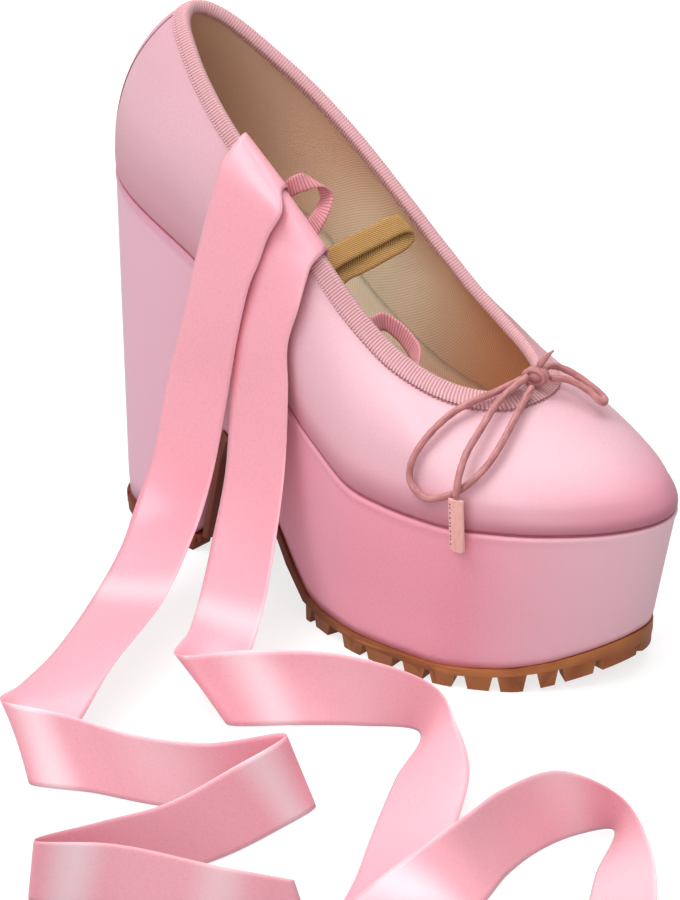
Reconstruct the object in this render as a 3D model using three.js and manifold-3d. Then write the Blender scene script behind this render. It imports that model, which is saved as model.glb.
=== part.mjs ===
import * as THREE from 'three';
import { mergeVertices } from 'three/addons/utils/BufferGeometryUtils.js';
import Module from 'manifold-3d';

// A platform pump for the right foot, in millimetres.
// +X points to the toe, +Y to the wearer's left, +Z up, and the floor is z = 0.

// Driving dimensions
const heelBack = -111; // back of the feather line, where the upper meets the platform
const toeTip = 112.5; // front of the feather line
const throatFront = 55.5; // front of the top line
const collarBack = -82; // back of the top line, which leans forward over the heel
const gap = 0.3; // clearance between neighbouring pieces
const wall = 1.8; // satin with its lining
const tape = 0.9; // folded grosgrain of the binding
const lapOut = 8; // binding on the outside, at its widest
const lapIn = 4.2; // binding on the inside
const insoleThick = 2.4;
const soleEdge = 6.8; // height of the rubber under the ball
const lugHeight = 8.6; // from the platform down to the tread at the toe
const lugFlare = 1; // how far the lugs stand out from the platform
const uprightToe = [70, 95]; // where the rubber's edge turns upright and comes flush with the platform
const toeTuck = 0.8; // how much of the lugs' stand-out is lost there
const lugTaper = 1.4; // how much each end of a lug draws in towards the tread
const waistPad = 2.6; // rubber along the waist and the heel breast
const liftHeight = 6; // rubber under the heel
const liftPad = 2.4;
const breastFoot = -61; // foot of the heel's front face
const breastTop = { x: -46, z: 50 }; // where the heel's front face meets the arch
const ringSteps = 64; // steps round the upper
const ribbonThick = 0.5;
const laceRadius = 1.25; // bow
const elasticWide = 7.4;
const elasticThick = 1;
const loopWide = 6; // small tape loops
const loopThick = 0.8;
const lugInset = { root: 0.1, tread: 0.3 }; // from the flared edge

// Ribbons: the top line's turns that each crosses, then its two edges down to the floor and along it
const rearCross = { left: 65, right: 81.5, liftLeft: 0.4, liftRight: 2 };
const rearRows = [
  { left: [-44, -30, 145], right: [-19, -30, 134] },
  { left: [-45, -33, 137], right: [-22, -33, 126] },
  { left: [-47, -35.5, 125], right: [-24, -35.5, 117] },
  { left: [-50, -37.5, 110], right: [-26, -37.5, 110] },
  { left: [-53.4, -40, 91], right: [-28.8, -40, 93] },
  { left: [-58, -43, 68], right: [-32, -42, 70] },
  { left: [-58, -50, 44], right: [-33, -47, 48] },
  { left: [-55.6, -61, 31], right: [-31.4, -54, 36.5] },
  { left: [-50.6, -73, 23], right: [-26.6, -65.4, 30] },
  { left: [-39.6, -98, 18], right: [-14.8, -92.6, 22] },
  { left: [-24, -133, 17], right: [1, -134, 20] },
  { left: [-13, -160, 20], right: [10, -161, 12] },
  { left: [-7, -174, 23], right: [7, -177, 0.6] },
  { left: [11, -167, 22], right: [25, -169, 0.6] },
  { left: [33, -162, 21], right: [47, -161, 0.6] },
  { left: [57, -152, 22], right: [66, -148, 0.6] },
  { left: [72, -134, 23], right: [81, -131, 0.6] },
  { left: [71, -158, 21], right: [82, -150, 0.6] },
  { left: [69, -184, 20], right: [79, -176, 0.6] },
  { left: [64, -206, 22], right: [67, -204, 0.6] },
  { left: [58, -227, 23], right: [53, -225, 0.6] },
  { left: [78, -215, 24], right: [73, -216, 0.6] },
  { left: [108, -205, 24], right: [104, -206, 0.6] },
  { left: [129, -197, 24], right: [133, -192, 0.6] },
];
const frontCross = { left: 79, right: 96, liftLeft: 0, liftRight: 0 };
const frontRows = [
  { left: [-26, -30.4, 126], right: [-7, -29.4, 119] },
  { left: [-28, -33, 119], right: [-7, -32.4, 114] },
  { left: [-31, -35.2, 106], right: [-7, -36, 106] },
  { left: [-34, -37.6, 92], right: [-9, -38.8, 94] },
  { left: [-32.6, -39.8, 70], right: [-7, -41, 80] },
  { left: [-29.6, -46, 45], right: [-4, -46, 55] },
  { left: [-24, -58.6, 28.5], right: [1.6, -57, 35] },
  { left: [-11.6, -78.6, 20], right: [13.6, -76.6, 23] },
  { left: [0, -97, 18], right: [24, -97, 14] },
  { left: [10, -114, 20], right: [28, -111, 0.6] },
  { left: [27, -98, 21], right: [43, -99, 0.6] },
  { left: [55, -85, 23.5], right: [60, -85, 0.6] },
  { left: [86, -80, 21], right: [76, -76, 0.6] },
  { left: [99, -86, 15], right: [89, -103, 0.6] },
  { left: [114, -99, 11], right: [105, -134, 0.6] },
  { left: [128, -124, 5], right: [116, -154, 0.6] },
  { left: [150, -162, 1], right: [126, -174, 0.6] },
  { left: [152, -161, 4.6], right: [128, -173, 4.2] },
  { left: [154, -146, 0.6], right: [133, -148, 13] },
  { left: [149, -125, 0.6], right: [140, -134, 21] },
  { left: [148, -108, 0.6], right: [140, -116, 22] },
  { left: [151, -94, 0.6], right: [147, -99, 23] },
  { left: [157, -85, 0.6], right: [166, -95, 20] },
  { left: [168, -108, 0.6], right: [186, -107, 16] },
  { left: [179, -128, 0.6], right: [200, -123, 12] },
  { left: [186, -143, 0.6], right: [208, -136, 9] },
];

// Bow: paths of the lace over the vamp, from the knot at the throat
const knotCentre = [59.5, 1.5, 89.6];
const knotRadii = [4, 3.6, 2.8];
const nearLoopPath = [
  [57.5, -3.6, 89.6],
  [56, -13, 88.6],
  [51, -28.5, 85.4],
  [48.7, -39, 80],
  [47.2, -44.6, 73.5],
  [47.6, -46.6, 67.9],
  [50.9, -47.3, 64.3],
  [55.3, -47, 63.2],
  [63.1, -44.4, 66.4],
  [66.6, -41.3, 69.7],
  [69, -35.8, 74.2],
  [68.8, -28.2, 79],
  [66.4, -19, 83],
  [63, -9, 85.8],
  [61.8, -3.8, 88],
];
const nearEndPath = [
  [59.6, -3.7, 91],
  [59, -16.6, 87.2],
  [61.7, -29.6, 82.4],
  [62.8, -37.4, 78],
  [64.6, -43.4, 73],
  [65.9, -46.5, 67.2],
];
const farLoopPath = [
  [58.6, 5.5, 90.4],
  [59, 11, 89.8],
  [62.5, 15.6, 87.2],
  [69.5, 17, 84],
  [75.2, 17, 81.2],
  [77, 13.6, 81.4],
  [71.6, 12.6, 84.6],
  [66, 9.8, 87.4],
  [63, 5.2, 88.6],
];
const shortEndPath = [
  [60, 2.6, 93.2],
  [61, 3.6, 95.2],
  [63, 5.4, 98],
];
const tabRows = [
  { at: [66, -46.6, 66], across: [0.96, 0.25, 0] },
  { at: [66.6, -46.8, 57], across: [0.96, 0.25, 0] },
  { at: [67, -46.6, 48.2], across: [0.96, 0.25, 0] },
];
const tabSize = { wide: 5.2, thick: 1.2 };

// Loops inside the collar: a row for each place along the tape, and the way its width points there
// A foot's lean is its distance from the wall at the middle, where its straight end spans a hollow
const elasticFeet = [
  { turn: 92.3, drop: 12, lean: 0.3, across: [0.77, 0, -0.64] },
  { turn: 94.2, drop: 15.4, lean: 0.3, across: [0.77, 0, -0.64] },
];
const elasticRows = [
  { at: [-9.8, -16, 116.4], across: [0.77, 0, -0.64] },
  { at: [-9, -8.7, 117.7], across: [0.77, 0, -0.64] },
  { at: [-7.5, 2.7, 119.2], across: [0.77, 0, -0.64] },
  { at: [-5, 11.8, 121.2], across: [0.77, 0, -0.64] },
  { at: [-3.7, 14.2, 120.6], across: [0.77, 0, -0.64] },
  { at: [-3.5, 14.2, 118], across: [0.77, 0, -0.64] },
  { at: [-3.4, 10.9, 116.4], across: [0.77, 0, -0.64] },
  { at: [-5, 2.2, 114.4], across: [0.77, 0, -0.64] },
  { at: [-6.5, -6.6, 112.8], across: [0.77, 0, -0.64] },
  { at: [-7.6, -14, 111.8], across: [0.77, 0, -0.64] },
];
const rearLoopRows = [
  { at: [-29.5, -16.6, 134], across: [0.27, 0, -0.96] },
  { at: [-26.8, -15.4, 136.8], across: [0.3, 0, -0.95] },
  { at: [-23.8, -13.2, 138.4], across: [0.5, 0, -0.86] },
  { at: [-21.5, -9.7, 137.6], across: [0.95, 0, -0.25] },
  { at: [-19.5, -7.4, 133], across: [0.88, 0, 0.45] },
  { at: [-18.5, -10.4, 129.6], across: [1, 0, 0] },
  { at: [-17.8, -14.6, 126.4], across: [0.75, 0, -0.65] },
];
const rearLoopFoot = { turn: 86, drop: 13.5, lean: 0.3, across: [0.72, 0, -0.69] };
const frontLoopFeet = [
  { turn: 107, drop: 14, lean: 1.25, across: [-0.77, 0, 0.64] },
  { turn: 124, drop: 15, lean: 1.25, across: [0.3, 0.62, 0.72] },
];
const frontLoopRows = [
  { at: [9, -13.2, 99], across: [-0.2, 0.1, 0.97] },
  { at: [13.5, -11.6, 96.9], across: [0.1, 0.2, 0.97] },
  { at: [19, -11.8, 93.7], across: [0.3, 0.3, 0.9] },
  { at: [23.5, -14.2, 91.4], across: [0.4, 0.3, 0.85] },
];

// Half widths of the feather line; turn runs from the heel back (0) to the toe tip (180 degrees)
const featherWidths = [
  { turn: 0, lateral: 0, medial: 0 },
  { turn: 10, lateral: 8.4, medial: 8.4 },
  { turn: 20, lateral: 15.2, medial: 15.2 },
  { turn: 30, lateral: 20.4, medial: 20.2 },
  { turn: 45, lateral: 25, medial: 24.6 },
  { turn: 60, lateral: 27.4, medial: 25.6 },
  { turn: 75, lateral: 32, medial: 27 },
  { turn: 90, lateral: 39, medial: 31.5 },
  { turn: 105, lateral: 45.8, medial: 37.8 },
  { turn: 120, lateral: 45.6, medial: 39 },
  { turn: 135, lateral: 38.4, medial: 32.4 },
  { turn: 150, lateral: 26.6, medial: 22.4 },
  { turn: 165, lateral: 13.2, medial: 11.6 },
  { turn: 180, lateral: 0, medial: 0 },
];

// Height of the feather line along the shoe
const featherHeights = [
  { x: -112, z: 126 },
  { x: -104, z: 123 },
  { x: -94, z: 119 },
  { x: -75, z: 112.5 },
  { x: -55, z: 104 },
  { x: -36, z: 91 },
  { x: -17, z: 75.5 },
  { x: 3, z: 62.5 },
  { x: 23, z: 55.5 },
  { x: 45, z: 53.8 },
  { x: 70, z: 54.6 },
  { x: 95, z: 55.8 },
  { x: 114, z: 56.6 },
];

// The top line's half width and height, by turn
const collarLine = [
  { turn: 0, half: 0, z: 182 },
  { turn: 10, half: 4, z: 181.2 },
  { turn: 20, half: 7.9, z: 178.8 },
  { turn: 30, half: 11.4, z: 174.8 },
  { turn: 45, half: 16.8, z: 165.6 },
  { turn: 60, half: 21.2, z: 154.6 },
  { turn: 75, half: 23.4, z: 141.6 },
  { turn: 90, half: 24.1, z: 127 },
  { turn: 105, half: 24.6, z: 111.6 },
  { turn: 120, half: 24, z: 99 },
  { turn: 135, half: 21.4, z: 91.8 },
  { turn: 150, half: 16.6, z: 88 },
  { turn: 165, half: 9.4, z: 86.3 },
  { turn: 180, half: 0, z: 86 },
];

// The binding's outer lap, by turn
const bindingLap = [
  { turn: 0, lap: 4.2 },
  { turn: 60, lap: 4.8 },
  { turn: 75, lap: 6 },
  { turn: 90, lap: 7.4 },
  { turn: 110, lap: lapOut },
  { turn: 180, lap: 7.6 },
];

// How the wall leaves the feather line (low) and reaches the top line (high): outward and upward handles
const wallHandles = [
  { turn: 0, lowOut: 1.2, lowUp: 24, highOut: 19, highDown: 7 },
  { turn: 45, lowOut: 3, lowUp: 22, highOut: 12, highDown: 14 },
  { turn: 90, lowOut: 2, lowUp: 22, highOut: 7, highDown: 20 },
  { turn: 120, lowOut: 1.5, lowUp: 16, highOut: 9, highDown: 10 },
  { turn: 150, lowOut: 2.4, lowUp: 11.5, highOut: 12, highDown: 7.5 },
  { turn: 180, lowOut: 3, lowUp: 10.5, highOut: 16, highDown: 6.5 },
];

// The platform's lower edge against its upper one: pulled forward at the heel, back at the toe
const platformDraft = [
  { x: -112, shift: 3.4, lateral: -0.4, medial: -0.4 },
  { x: -72, shift: 1, lateral: -0.4, medial: -0.4 },
  { x: -46, shift: 0, lateral: 0, medial: 0 },
  { x: 15, shift: 0, lateral: 1.4, medial: 1.4 },
  { x: 45, shift: -1, lateral: 2.4, medial: 2.4 },
  { x: 75, shift: -2.8, lateral: 1.4, medial: 0.8 },
  { x: 114, shift: -8, lateral: -0.6, medial: -1.2 },
];

// Underside of the platform from the arch to the toe spring
const archLine = [
  { x: -46, z: 50 },
  { x: -40, z: 47.4 },
  { x: -30, z: 40.6 },
  { x: -18, z: 29.4 },
  { x: -11, z: 21 },
  { x: -5, z: 14 },
  { x: 1, z: 8.6 },
  { x: 8, z: soleEdge },
  { x: 58, z: soleEdge },
  { x: 70, z: 7.2 },
  { x: 79, z: 8 },
  { x: 89, z: 10 },
  { x: 95, z: 12 },
  { x: 102, z: 14.6 },
  { x: 110, z: 18.4 },
];

// Thickness of the rubber above the notches
const solePad = [
  { x: -61, pad: waistPad },
  { x: -16, pad: waistPad },
  { x: 10, pad: 2.5 },
  { x: 80, pad: 2.6 },
  { x: 95, pad: 3.8 },
  { x: 102, pad: 5.2 },
  { x: 110, pad: 6.8 },
];

// Lugs along the forefoot's edge on both sides: where each starts and ends, from the toe tip back
const edgeSpans = [
  [0.4, 16.4],
  [17, 29.2],
  [29.8, 37.2],
  [40, 49.9],
  [50.8, 60.4],
  [62.8, 72],
  [73, 82.2],
  [85.5, 97.4],
  [98.3, 108.4],
  [115.2, 125.2],
  [126.2, 135.6],
];

const colours = {
  satin: 0xe8b9c6,
  wrap: 0xdf9bb0,
  ribbon: 0xf3a6b2,
  tape: 0xdc9aa4,
  sock: 0xcdb491,
  gum: 0x9a5b33,
  elastic: 0xb99550,
  cord: 0xb27a80,
};

const wasm = await Module();
wasm.setup();

const degrees = Math.PI / 180;
const up = new THREE.Vector3(0, 0, 1);

// A smooth curve through table rows that never overshoots between them
function column(table, from, to) {
  const xs = table.map((row) => row[from]);
  const ys = table.map((row) => row[to]);
  const rise = xs.slice(1).map((x, i) => (ys[i + 1] - ys[i]) / (x - xs[i]));
  const slopes = xs.map((x, i) => {
    if (i === 0) return rise[0];
    if (i === xs.length - 1) return rise[i - 1];
    if (rise[i - 1] * rise[i] <= 0) return 0;
    return (2 * rise[i - 1] * rise[i]) / (rise[i - 1] + rise[i]);
  });
  return (x) => {
    const last = xs.length - 2;
    let i = xs.findIndex((value) => value > x) - 1;
    if (x >= xs[last + 1]) i = last;
    i = Math.max(0, i);
    const span = xs[i + 1] - xs[i];
    const t = THREE.MathUtils.clamp((x - xs[i]) / span, 0, 1);
    const low = (1 + 2 * t) * (1 - t) ** 2 * ys[i] + t * (1 - t) ** 2 * span * slopes[i];
    const high = t * t * (3 - 2 * t) * ys[i + 1] + t * t * (t - 1) * span * slopes[i + 1];
    return low + high;
  };
}

const lateralHalf = column(featherWidths, 'turn', 'lateral');
const medialHalf = column(featherWidths, 'turn', 'medial');
const featherZ = column(featherHeights, 'x', 'z');
const collarHalf = column(collarLine, 'turn', 'half');
const collarZ = column(collarLine, 'turn', 'z');
const lowOut = column(wallHandles, 'turn', 'lowOut');
const lowUp = column(wallHandles, 'turn', 'lowUp');
const highOut = column(wallHandles, 'turn', 'highOut');
const highDown = column(wallHandles, 'turn', 'highDown');
const draftShift = column(platformDraft, 'x', 'shift');
const lateralDraft = column(platformDraft, 'x', 'lateral');
const medialDraft = column(platformDraft, 'x', 'medial');
const archZ = column(archLine, 'x', 'z');
const padOf = column(solePad, 'x', 'pad');
const lapAt = column(bindingLap, 'turn', 'lap');

// A ring angle runs from the heel back along the lateral side to the toe and back along the medial side
const turnOf = (angle) => (angle <= 180 ? angle : 360 - angle);
const wrap = (angle) => ((angle % 360) + 360) % 360;

function alongX(turn, back, front) {
  return (back + front) / 2 - ((front - back) / 2) * Math.cos(turn * degrees);
}

function turnAt(x, back, front) {
  return Math.acos(THREE.MathUtils.clamp((back + front - 2 * x) / (front - back), -1, 1)) / degrees;
}

function featherPoint(angle) {
  const turn = turnOf(wrap(angle));
  const x = alongX(turn, heelBack, toeTip);
  const y = wrap(angle) <= 180 ? -lateralHalf(turn) : medialHalf(turn);
  return new THREE.Vector3(x, y, featherZ(x));
}

function collarPoint(angle) {
  const turn = turnOf(wrap(angle));
  const side = wrap(angle) <= 180 ? -1 : 1;
  return new THREE.Vector3(alongX(turn, collarBack, throatFront), side * collarHalf(turn), collarZ(turn));
}

// Level direction that points out of a ring
function outward(ring, angle) {
  const along = ring(angle + 1).sub(ring(angle - 1)).setZ(0).normalize();
  return along.cross(up);
}

// One line of the upper's outer face, from the feather line up to the ridge of the top line
function wallLine(angle) {
  const turn = turnOf(wrap(angle));
  const foot = featherPoint(angle);
  const ridge = collarPoint(angle);
  const low = foot.clone().addScaledVector(outward(featherPoint, angle), lowOut(turn));
  const high = ridge.clone().addScaledVector(outward(collarPoint, angle), highOut(turn));
  low.z += lowUp(turn);
  high.z -= highDown(turn);
  return new THREE.CubicBezierCurve3(foot, low, high, ridge);
}

// The point of the upper at a distance below the ridge, moved off its outer face
function skinPoint(angle, drop, offset) {
  const line = wallLine(angle);
  const part = 1 - drop / line.getLength();
  const t = line.getUtoTmapping(part);
  const climb = line.getTangent(t);
  const across = wallLine(angle + 1).getPoint(t).sub(wallLine(angle - 1).getPoint(t));
  return line.getPoint(t).addScaledVector(across.cross(climb).normalize(), offset);
}

// A closed mesh from a grid of points whose rows and columns may wrap round or close in a cap
function gridSolid(rows, closedRing) {
  const wide = rows[0].length;
  const points = rows.flat().flatMap((point) => point.toArray());
  const faces = [];
  const count = closedRing ? rows.length : rows.length - 1;
  for (let i = 0; i < count; i += 1) {
    const here = i * wide;
    const next = ((i + 1) % rows.length) * wide;
    // The second half of a section takes the other diagonal, so both faces of a thin wall are split alike
    for (let j = 0; j < wide; j += 1) {
      const k = (j + 1) % wide;
      if (j < wide / 2) faces.push(here + j, next + j, next + k, here + j, next + k, here + k);
      else faces.push(here + j, next + j, here + k, here + k, next + j, next + k);
    }
  }
  if (!closedRing) {
    const end = (rows.length - 1) * wide;
    for (let j = 1; j < wide - 1; j += 1) {
      faces.push(0, j, j + 1, end, end + j + 1, end + j);
    }
  }
  return closedGeometry(points, faces);
}

// Merges shared points, drops faces without area and turns the whole so that it faces outward
function closedGeometry(points, faces) {
  const loose = new THREE.BufferGeometry();
  loose.setAttribute('position', new THREE.Float32BufferAttribute(points, 3));
  loose.setIndex(faces);
  const merged = mergeVertices(loose, 1e-3);
  const index = merged.index.array;
  const kept = [];
  for (let i = 0; i < index.length; i += 3) {
    const [a, b, c] = [index[i], index[i + 1], index[i + 2]];
    if (a !== b && b !== c && c !== a) kept.push(a, b, c);
  }
  const place = (i) => new THREE.Vector3().fromBufferAttribute(merged.attributes.position, i);
  let volume = 0;
  for (let i = 0; i < kept.length; i += 3) {
    volume += place(kept[i]).dot(place(kept[i + 1]).cross(place(kept[i + 2])));
  }
  if (volume < 0) kept.reverse();
  merged.setIndex(kept);
  return merged;
}

function toSolid(geometry) {
  return new wasm.Manifold(
    new wasm.Mesh({
      numProp: 3,
      vertProperties: new Float32Array(geometry.attributes.position.array),
      triVerts: new Uint32Array(geometry.index.array),
    }),
  );
}

function fromSolid(solid) {
  const mesh = solid.getMesh();
  const geometry = new THREE.BufferGeometry();
  geometry.setAttribute('position', new THREE.BufferAttribute(mesh.vertProperties, 3));
  geometry.setIndex(Array.from(mesh.triVerts));
  return geometry;
}

const shoe = new THREE.Group();
const cords = new THREE.Group();

function addPiece(group, name, geometry, colour, roughness) {
  geometry.computeVertexNormals();
  const material = new THREE.MeshStandardMaterial({ color: colour, roughness, metalness: 0 });
  const piece = new THREE.Mesh(geometry, material);
  piece.name = name;
  group.add(piece);
}

const ringAngles = Array.from({ length: ringSteps }, (_, i) => (360 * i) / ringSteps);

// Upper: outer face from the cut edge down, then the inner face back up
const cutEdge = gap + tape;

function upperGeometry() {
  const rowsBelow = 7;
  return gridSolid(
    ringAngles.map((angle) => {
      const length = wallLine(angle).getLength();
      const drops = [cutEdge, cutEdge + lapOut / 2, cutEdge + lapOut];
      const rest = length - cutEdge - lapOut;
      for (let i = 1; i <= rowsBelow; i += 1) drops.push(cutEdge + lapOut + (rest * i) / rowsBelow);
      const outer = drops.map((drop) => skinPoint(angle, drop, 0));
      const inner = drops.map((drop) => skinPoint(angle, drop, -wall));
      return [...outer, ...inner.reverse()];
    }),
    true,
  );
}

// Binding: a tape folded over the cut edge, as a U in section
function bindingGeometry() {
  const near = gap;
  const face = gap + tape;
  const back = -wall - gap;
  const behind = back - tape;
  const section = (lap) => [
    { drop: cutEdge + lap, offset: face },
    { drop: cutEdge + lap / 2, offset: face },
    { drop: 1, offset: face },
    { drop: 0, offset: near },
    { drop: 0, offset: back },
    { drop: 1, offset: behind },
    { drop: cutEdge + lapIn / 2, offset: behind },
    { drop: cutEdge + lapIn, offset: behind },
    { drop: cutEdge + lapIn, offset: back },
    { drop: cutEdge + lapIn / 2, offset: back },
    { drop: cutEdge - gap, offset: back },
    { drop: cutEdge - gap, offset: near },
    { drop: cutEdge + lap / 2, offset: near },
    { drop: cutEdge + lap, offset: near },
  ];
  return gridSolid(
    ringAngles.map((angle) =>
      section(lapAt(turnOf(angle))).map(({ drop, offset }) => skinPoint(angle, drop, offset)),
    ),
    true,
  );
}

// Insole: lies on the platform inside the foot of the upper
function insoleGeometry() {
  const inset = wall + gap + 1;
  const turns = Array.from({ length: 33 }, (_, i) => (180 * i) / 32);
  return gridSolid(
    turns.map((turn) => {
      const left = featherPoint(turn).addScaledVector(outward(featherPoint, turn), -inset);
      const right = featherPoint(360 - turn).addScaledVector(outward(featherPoint, 360 - turn), -inset);
      const topLeft = left.clone().setZ(left.z + insoleThick);
      const topRight = right.clone().setZ(right.z + insoleThick);
      return [left, right, topRight, topLeft];
    }),
    false,
  );
}

// Underside of the wrapped unit: heel foot, heel breast, then arch, ball and toe spring
function undersideZ(x) {
  if (x <= breastFoot) return liftHeight;
  if (x >= breastTop.x) return archZ(x);
  const part = (x - breastFoot) / (breastTop.x - breastFoot);
  return liftHeight + (breastTop.z - liftHeight) * part;
}

// A station of the platform: its feather points and its lower edge on both sides
function platformStation(turn) {
  const top = featherPoint(turn);
  const x = top.x + draftShift(top.x);
  const taper = Math.min(1, Math.sin(turn * degrees) * 4);
  const z = undersideZ(x);
  return {
    turn,
    x,
    z,
    topLateral: top.setZ(top.z - gap),
    topMedial: featherPoint(360 - turn).setZ(top.z),
    lateral: lateralHalf(turn) + lateralDraft(top.x) * taper,
    medial: medialHalf(turn) + medialDraft(top.x) * taper,
  };
}

const cornerTurns = [breastFoot - 1.1, breastTop.x].map((x) => turnAt(x, heelBack, toeTip));
const evenTurns = Array.from({ length: 41 }, (_, i) => (180 * i) / 40);
const stationTurns = evenTurns
  .filter((turn) => cornerTurns.every((corner) => Math.abs(corner - turn) > 1.2))
  .concat(cornerTurns)
  .sort((a, b) => a - b);
const stations = stationTurns.map(platformStation);

function platformGeometry() {
  return gridSolid(
    stations.map(({ x, z, topLateral, topMedial, lateral, medial }) => [
      topLateral,
      new THREE.Vector3(x, -lateral, z),
      new THREE.Vector3(x, medial, z),
      topMedial,
    ]),
    false,
  );
}

// Outsole: a sheet under toe, ball, arch and heel breast, with lugs under the forefoot
const undersideLine = stations.filter(({ x }) => x >= breastFoot - 0.2);

// Moves a side-view line square to itself, away from the platform
function movedLine(line, distanceAt) {
  return line.map((point, i) => {
    const before = line[Math.max(0, i - 1)];
    const after = line[Math.min(line.length - 1, i + 1)];
    const into = new THREE.Vector2(point.x - before.x, point.z - before.z).normalize();
    const onward = new THREE.Vector2(after.x - point.x, after.z - point.z).normalize();
    if (i === 0) into.copy(onward);
    if (i === line.length - 1) onward.copy(into);
    const square = new THREE.Vector2(into.y + onward.y, -into.x - onward.x).normalize();
    const reach = distanceAt(point.x) / (square.x * into.y - square.y * into.x);
    return { x: point.x + square.x * reach, z: point.z + square.y * reach };
  });
}

const tuckAt = (x) => toeTuck * THREE.MathUtils.smoothstep(x, ...uprightToe);

function sheetSolid(line) {
  const upper = movedLine(line, () => gap);
  const lower = movedLine(line, padOf).map((point, i) => {
    const toe = THREE.MathUtils.smoothstep(line[i].x, ...uprightToe); // the edge stands upright round the toe
    return { x: THREE.MathUtils.lerp(point.x, upper[i].x, toe), z: point.z };
  });
  upper[0].z = liftHeight + gap;
  lower[0].z = liftHeight + gap;
  const edge = (angle, point, y, x) => {
    const flare = lugFlare * THREE.MathUtils.smoothstep(x, -24, -2) - tuckAt(x);
    return new THREE.Vector3(point.x, y, point.z).addScaledVector(outward(featherPoint, angle), flare);
  };
  return gridSolid(
    line.map(({ turn, x, lateral, medial }, i) => [
      edge(turn, upper[i], -lateral, x),
      edge(turn, lower[i], -lateral, x),
      edge(360 - turn, lower[i], medial, x),
      edge(360 - turn, upper[i], medial, x),
    ]),
    false,
  );
}

// A block with a root and a smaller tread of as many corners
function lugSolid(root, tread) {
  const count = root.length;
  const points = [...root, ...tread].flatMap((point) => point.toArray());
  const sides = root.flatMap((_, i) => {
    const k = (i + 1) % count;
    return [i, k, count + k, i, count + k, count + i];
  });
  const caps = root.slice(2).flatMap((_, i) => [0, i + 2, i + 1, count, count + i + 1, count + i + 2]);
  return toSolid(closedGeometry(points, [...caps, ...sides]));
}

// Lugs along an edge, each between two distances from its start
function edgeLugs(edge, spans, { rootZ, treadZ, depth }) {
  const curve = new THREE.CatmullRomCurve3(edge);
  const length = curve.getLength();
  const corner = (distance, inward, height) => {
    const at = THREE.MathUtils.clamp(distance / length, 0, 1);
    const point = curve.getPointAt(at);
    const out = curve.getTangentAt(at).setZ(0).normalize().cross(up);
    point.addScaledVector(out, -inward - tuckAt(point.x));
    return point.setZ(height(point.x));
  };
  return spans.map(([from, to]) => {
    const ring = (inset, near, far, height) => {
      const start = from + inset;
      const long = to - from - 2 * inset;
      const front = [0, 0.25, 0.5, 0.75, 1].map((part) => corner(start + long * part, near, height));
      const back = [0.9, 0.1].map((part) => corner(start + long * part, far, height));
      return [...front, ...back];
    };
    const root = ring(0, lugInset.root - lugFlare, depth, rootZ);
    const tread = ring(lugTaper, lugInset.tread - lugFlare, depth - 1, treadZ);
    return lugSolid(root, tread);
  });
}

// Bars across the middle of the tread
function crossBar(x, halfLength, halfWide, rootZ, treadZ, offset) {
  const ring = (long, wide, z) => [
    new THREE.Vector3(x - long, offset - wide, z),
    new THREE.Vector3(x + long, offset - wide, z),
    new THREE.Vector3(x + long, offset + wide, z),
    new THREE.Vector3(x - long, offset + wide, z),
  ];
  return lugSolid(ring(halfLength, halfWide, rootZ), ring(halfLength - 1.2, halfWide - 1.2, treadZ));
}

function outsoleGeometry() {
  const tread = stations.filter(({ x }) => x >= -4);
  const lateralEdge = tread.map(({ x, z, lateral }) => new THREE.Vector3(x, -lateral, z));
  const medialEdge = tread.map(({ x, z, medial }) => new THREE.Vector3(x, medial, z)).reverse();
  const rootZ = (x) => archZ(x) - gap - 1;
  const treadZ = (x) => Math.max(0, archZ(x) - lugHeight);
  const wholeEdge = [...lateralEdge, ...medialEdge.slice(1)];
  const toeAt = new THREE.CatmullRomCurve3(lateralEdge).getLength();
  const spans = edgeSpans.flatMap(([from, to]) => [
    [toeAt - to, toeAt - from],
    [toeAt + from, toeAt + to],
  ]);
  const lugs = edgeLugs(wholeEdge, spans, { rootZ, treadZ, depth: 11 });
  const bars = [
    { x: 14, long: 4.5, wide: 18 },
    { x: 31, long: 8, wide: 23 },
    { x: 48, long: 4.5, wide: 25 },
    { x: 62, long: 4, wide: 24 },
    { x: 75, long: 4, wide: 19 },
    { x: 87, long: 4, wide: 12 },
  ];
  const middle = bars.map(({ x, long, wide }) => crossBar(x, long, wide, rootZ(x), treadZ(x), -3.5));
  const sheet = toSolid(sheetSolid(undersideLine));
  return fromSolid([...lugs, ...middle].reduce((all, lug) => all.add(lug), sheet));
}

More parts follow.
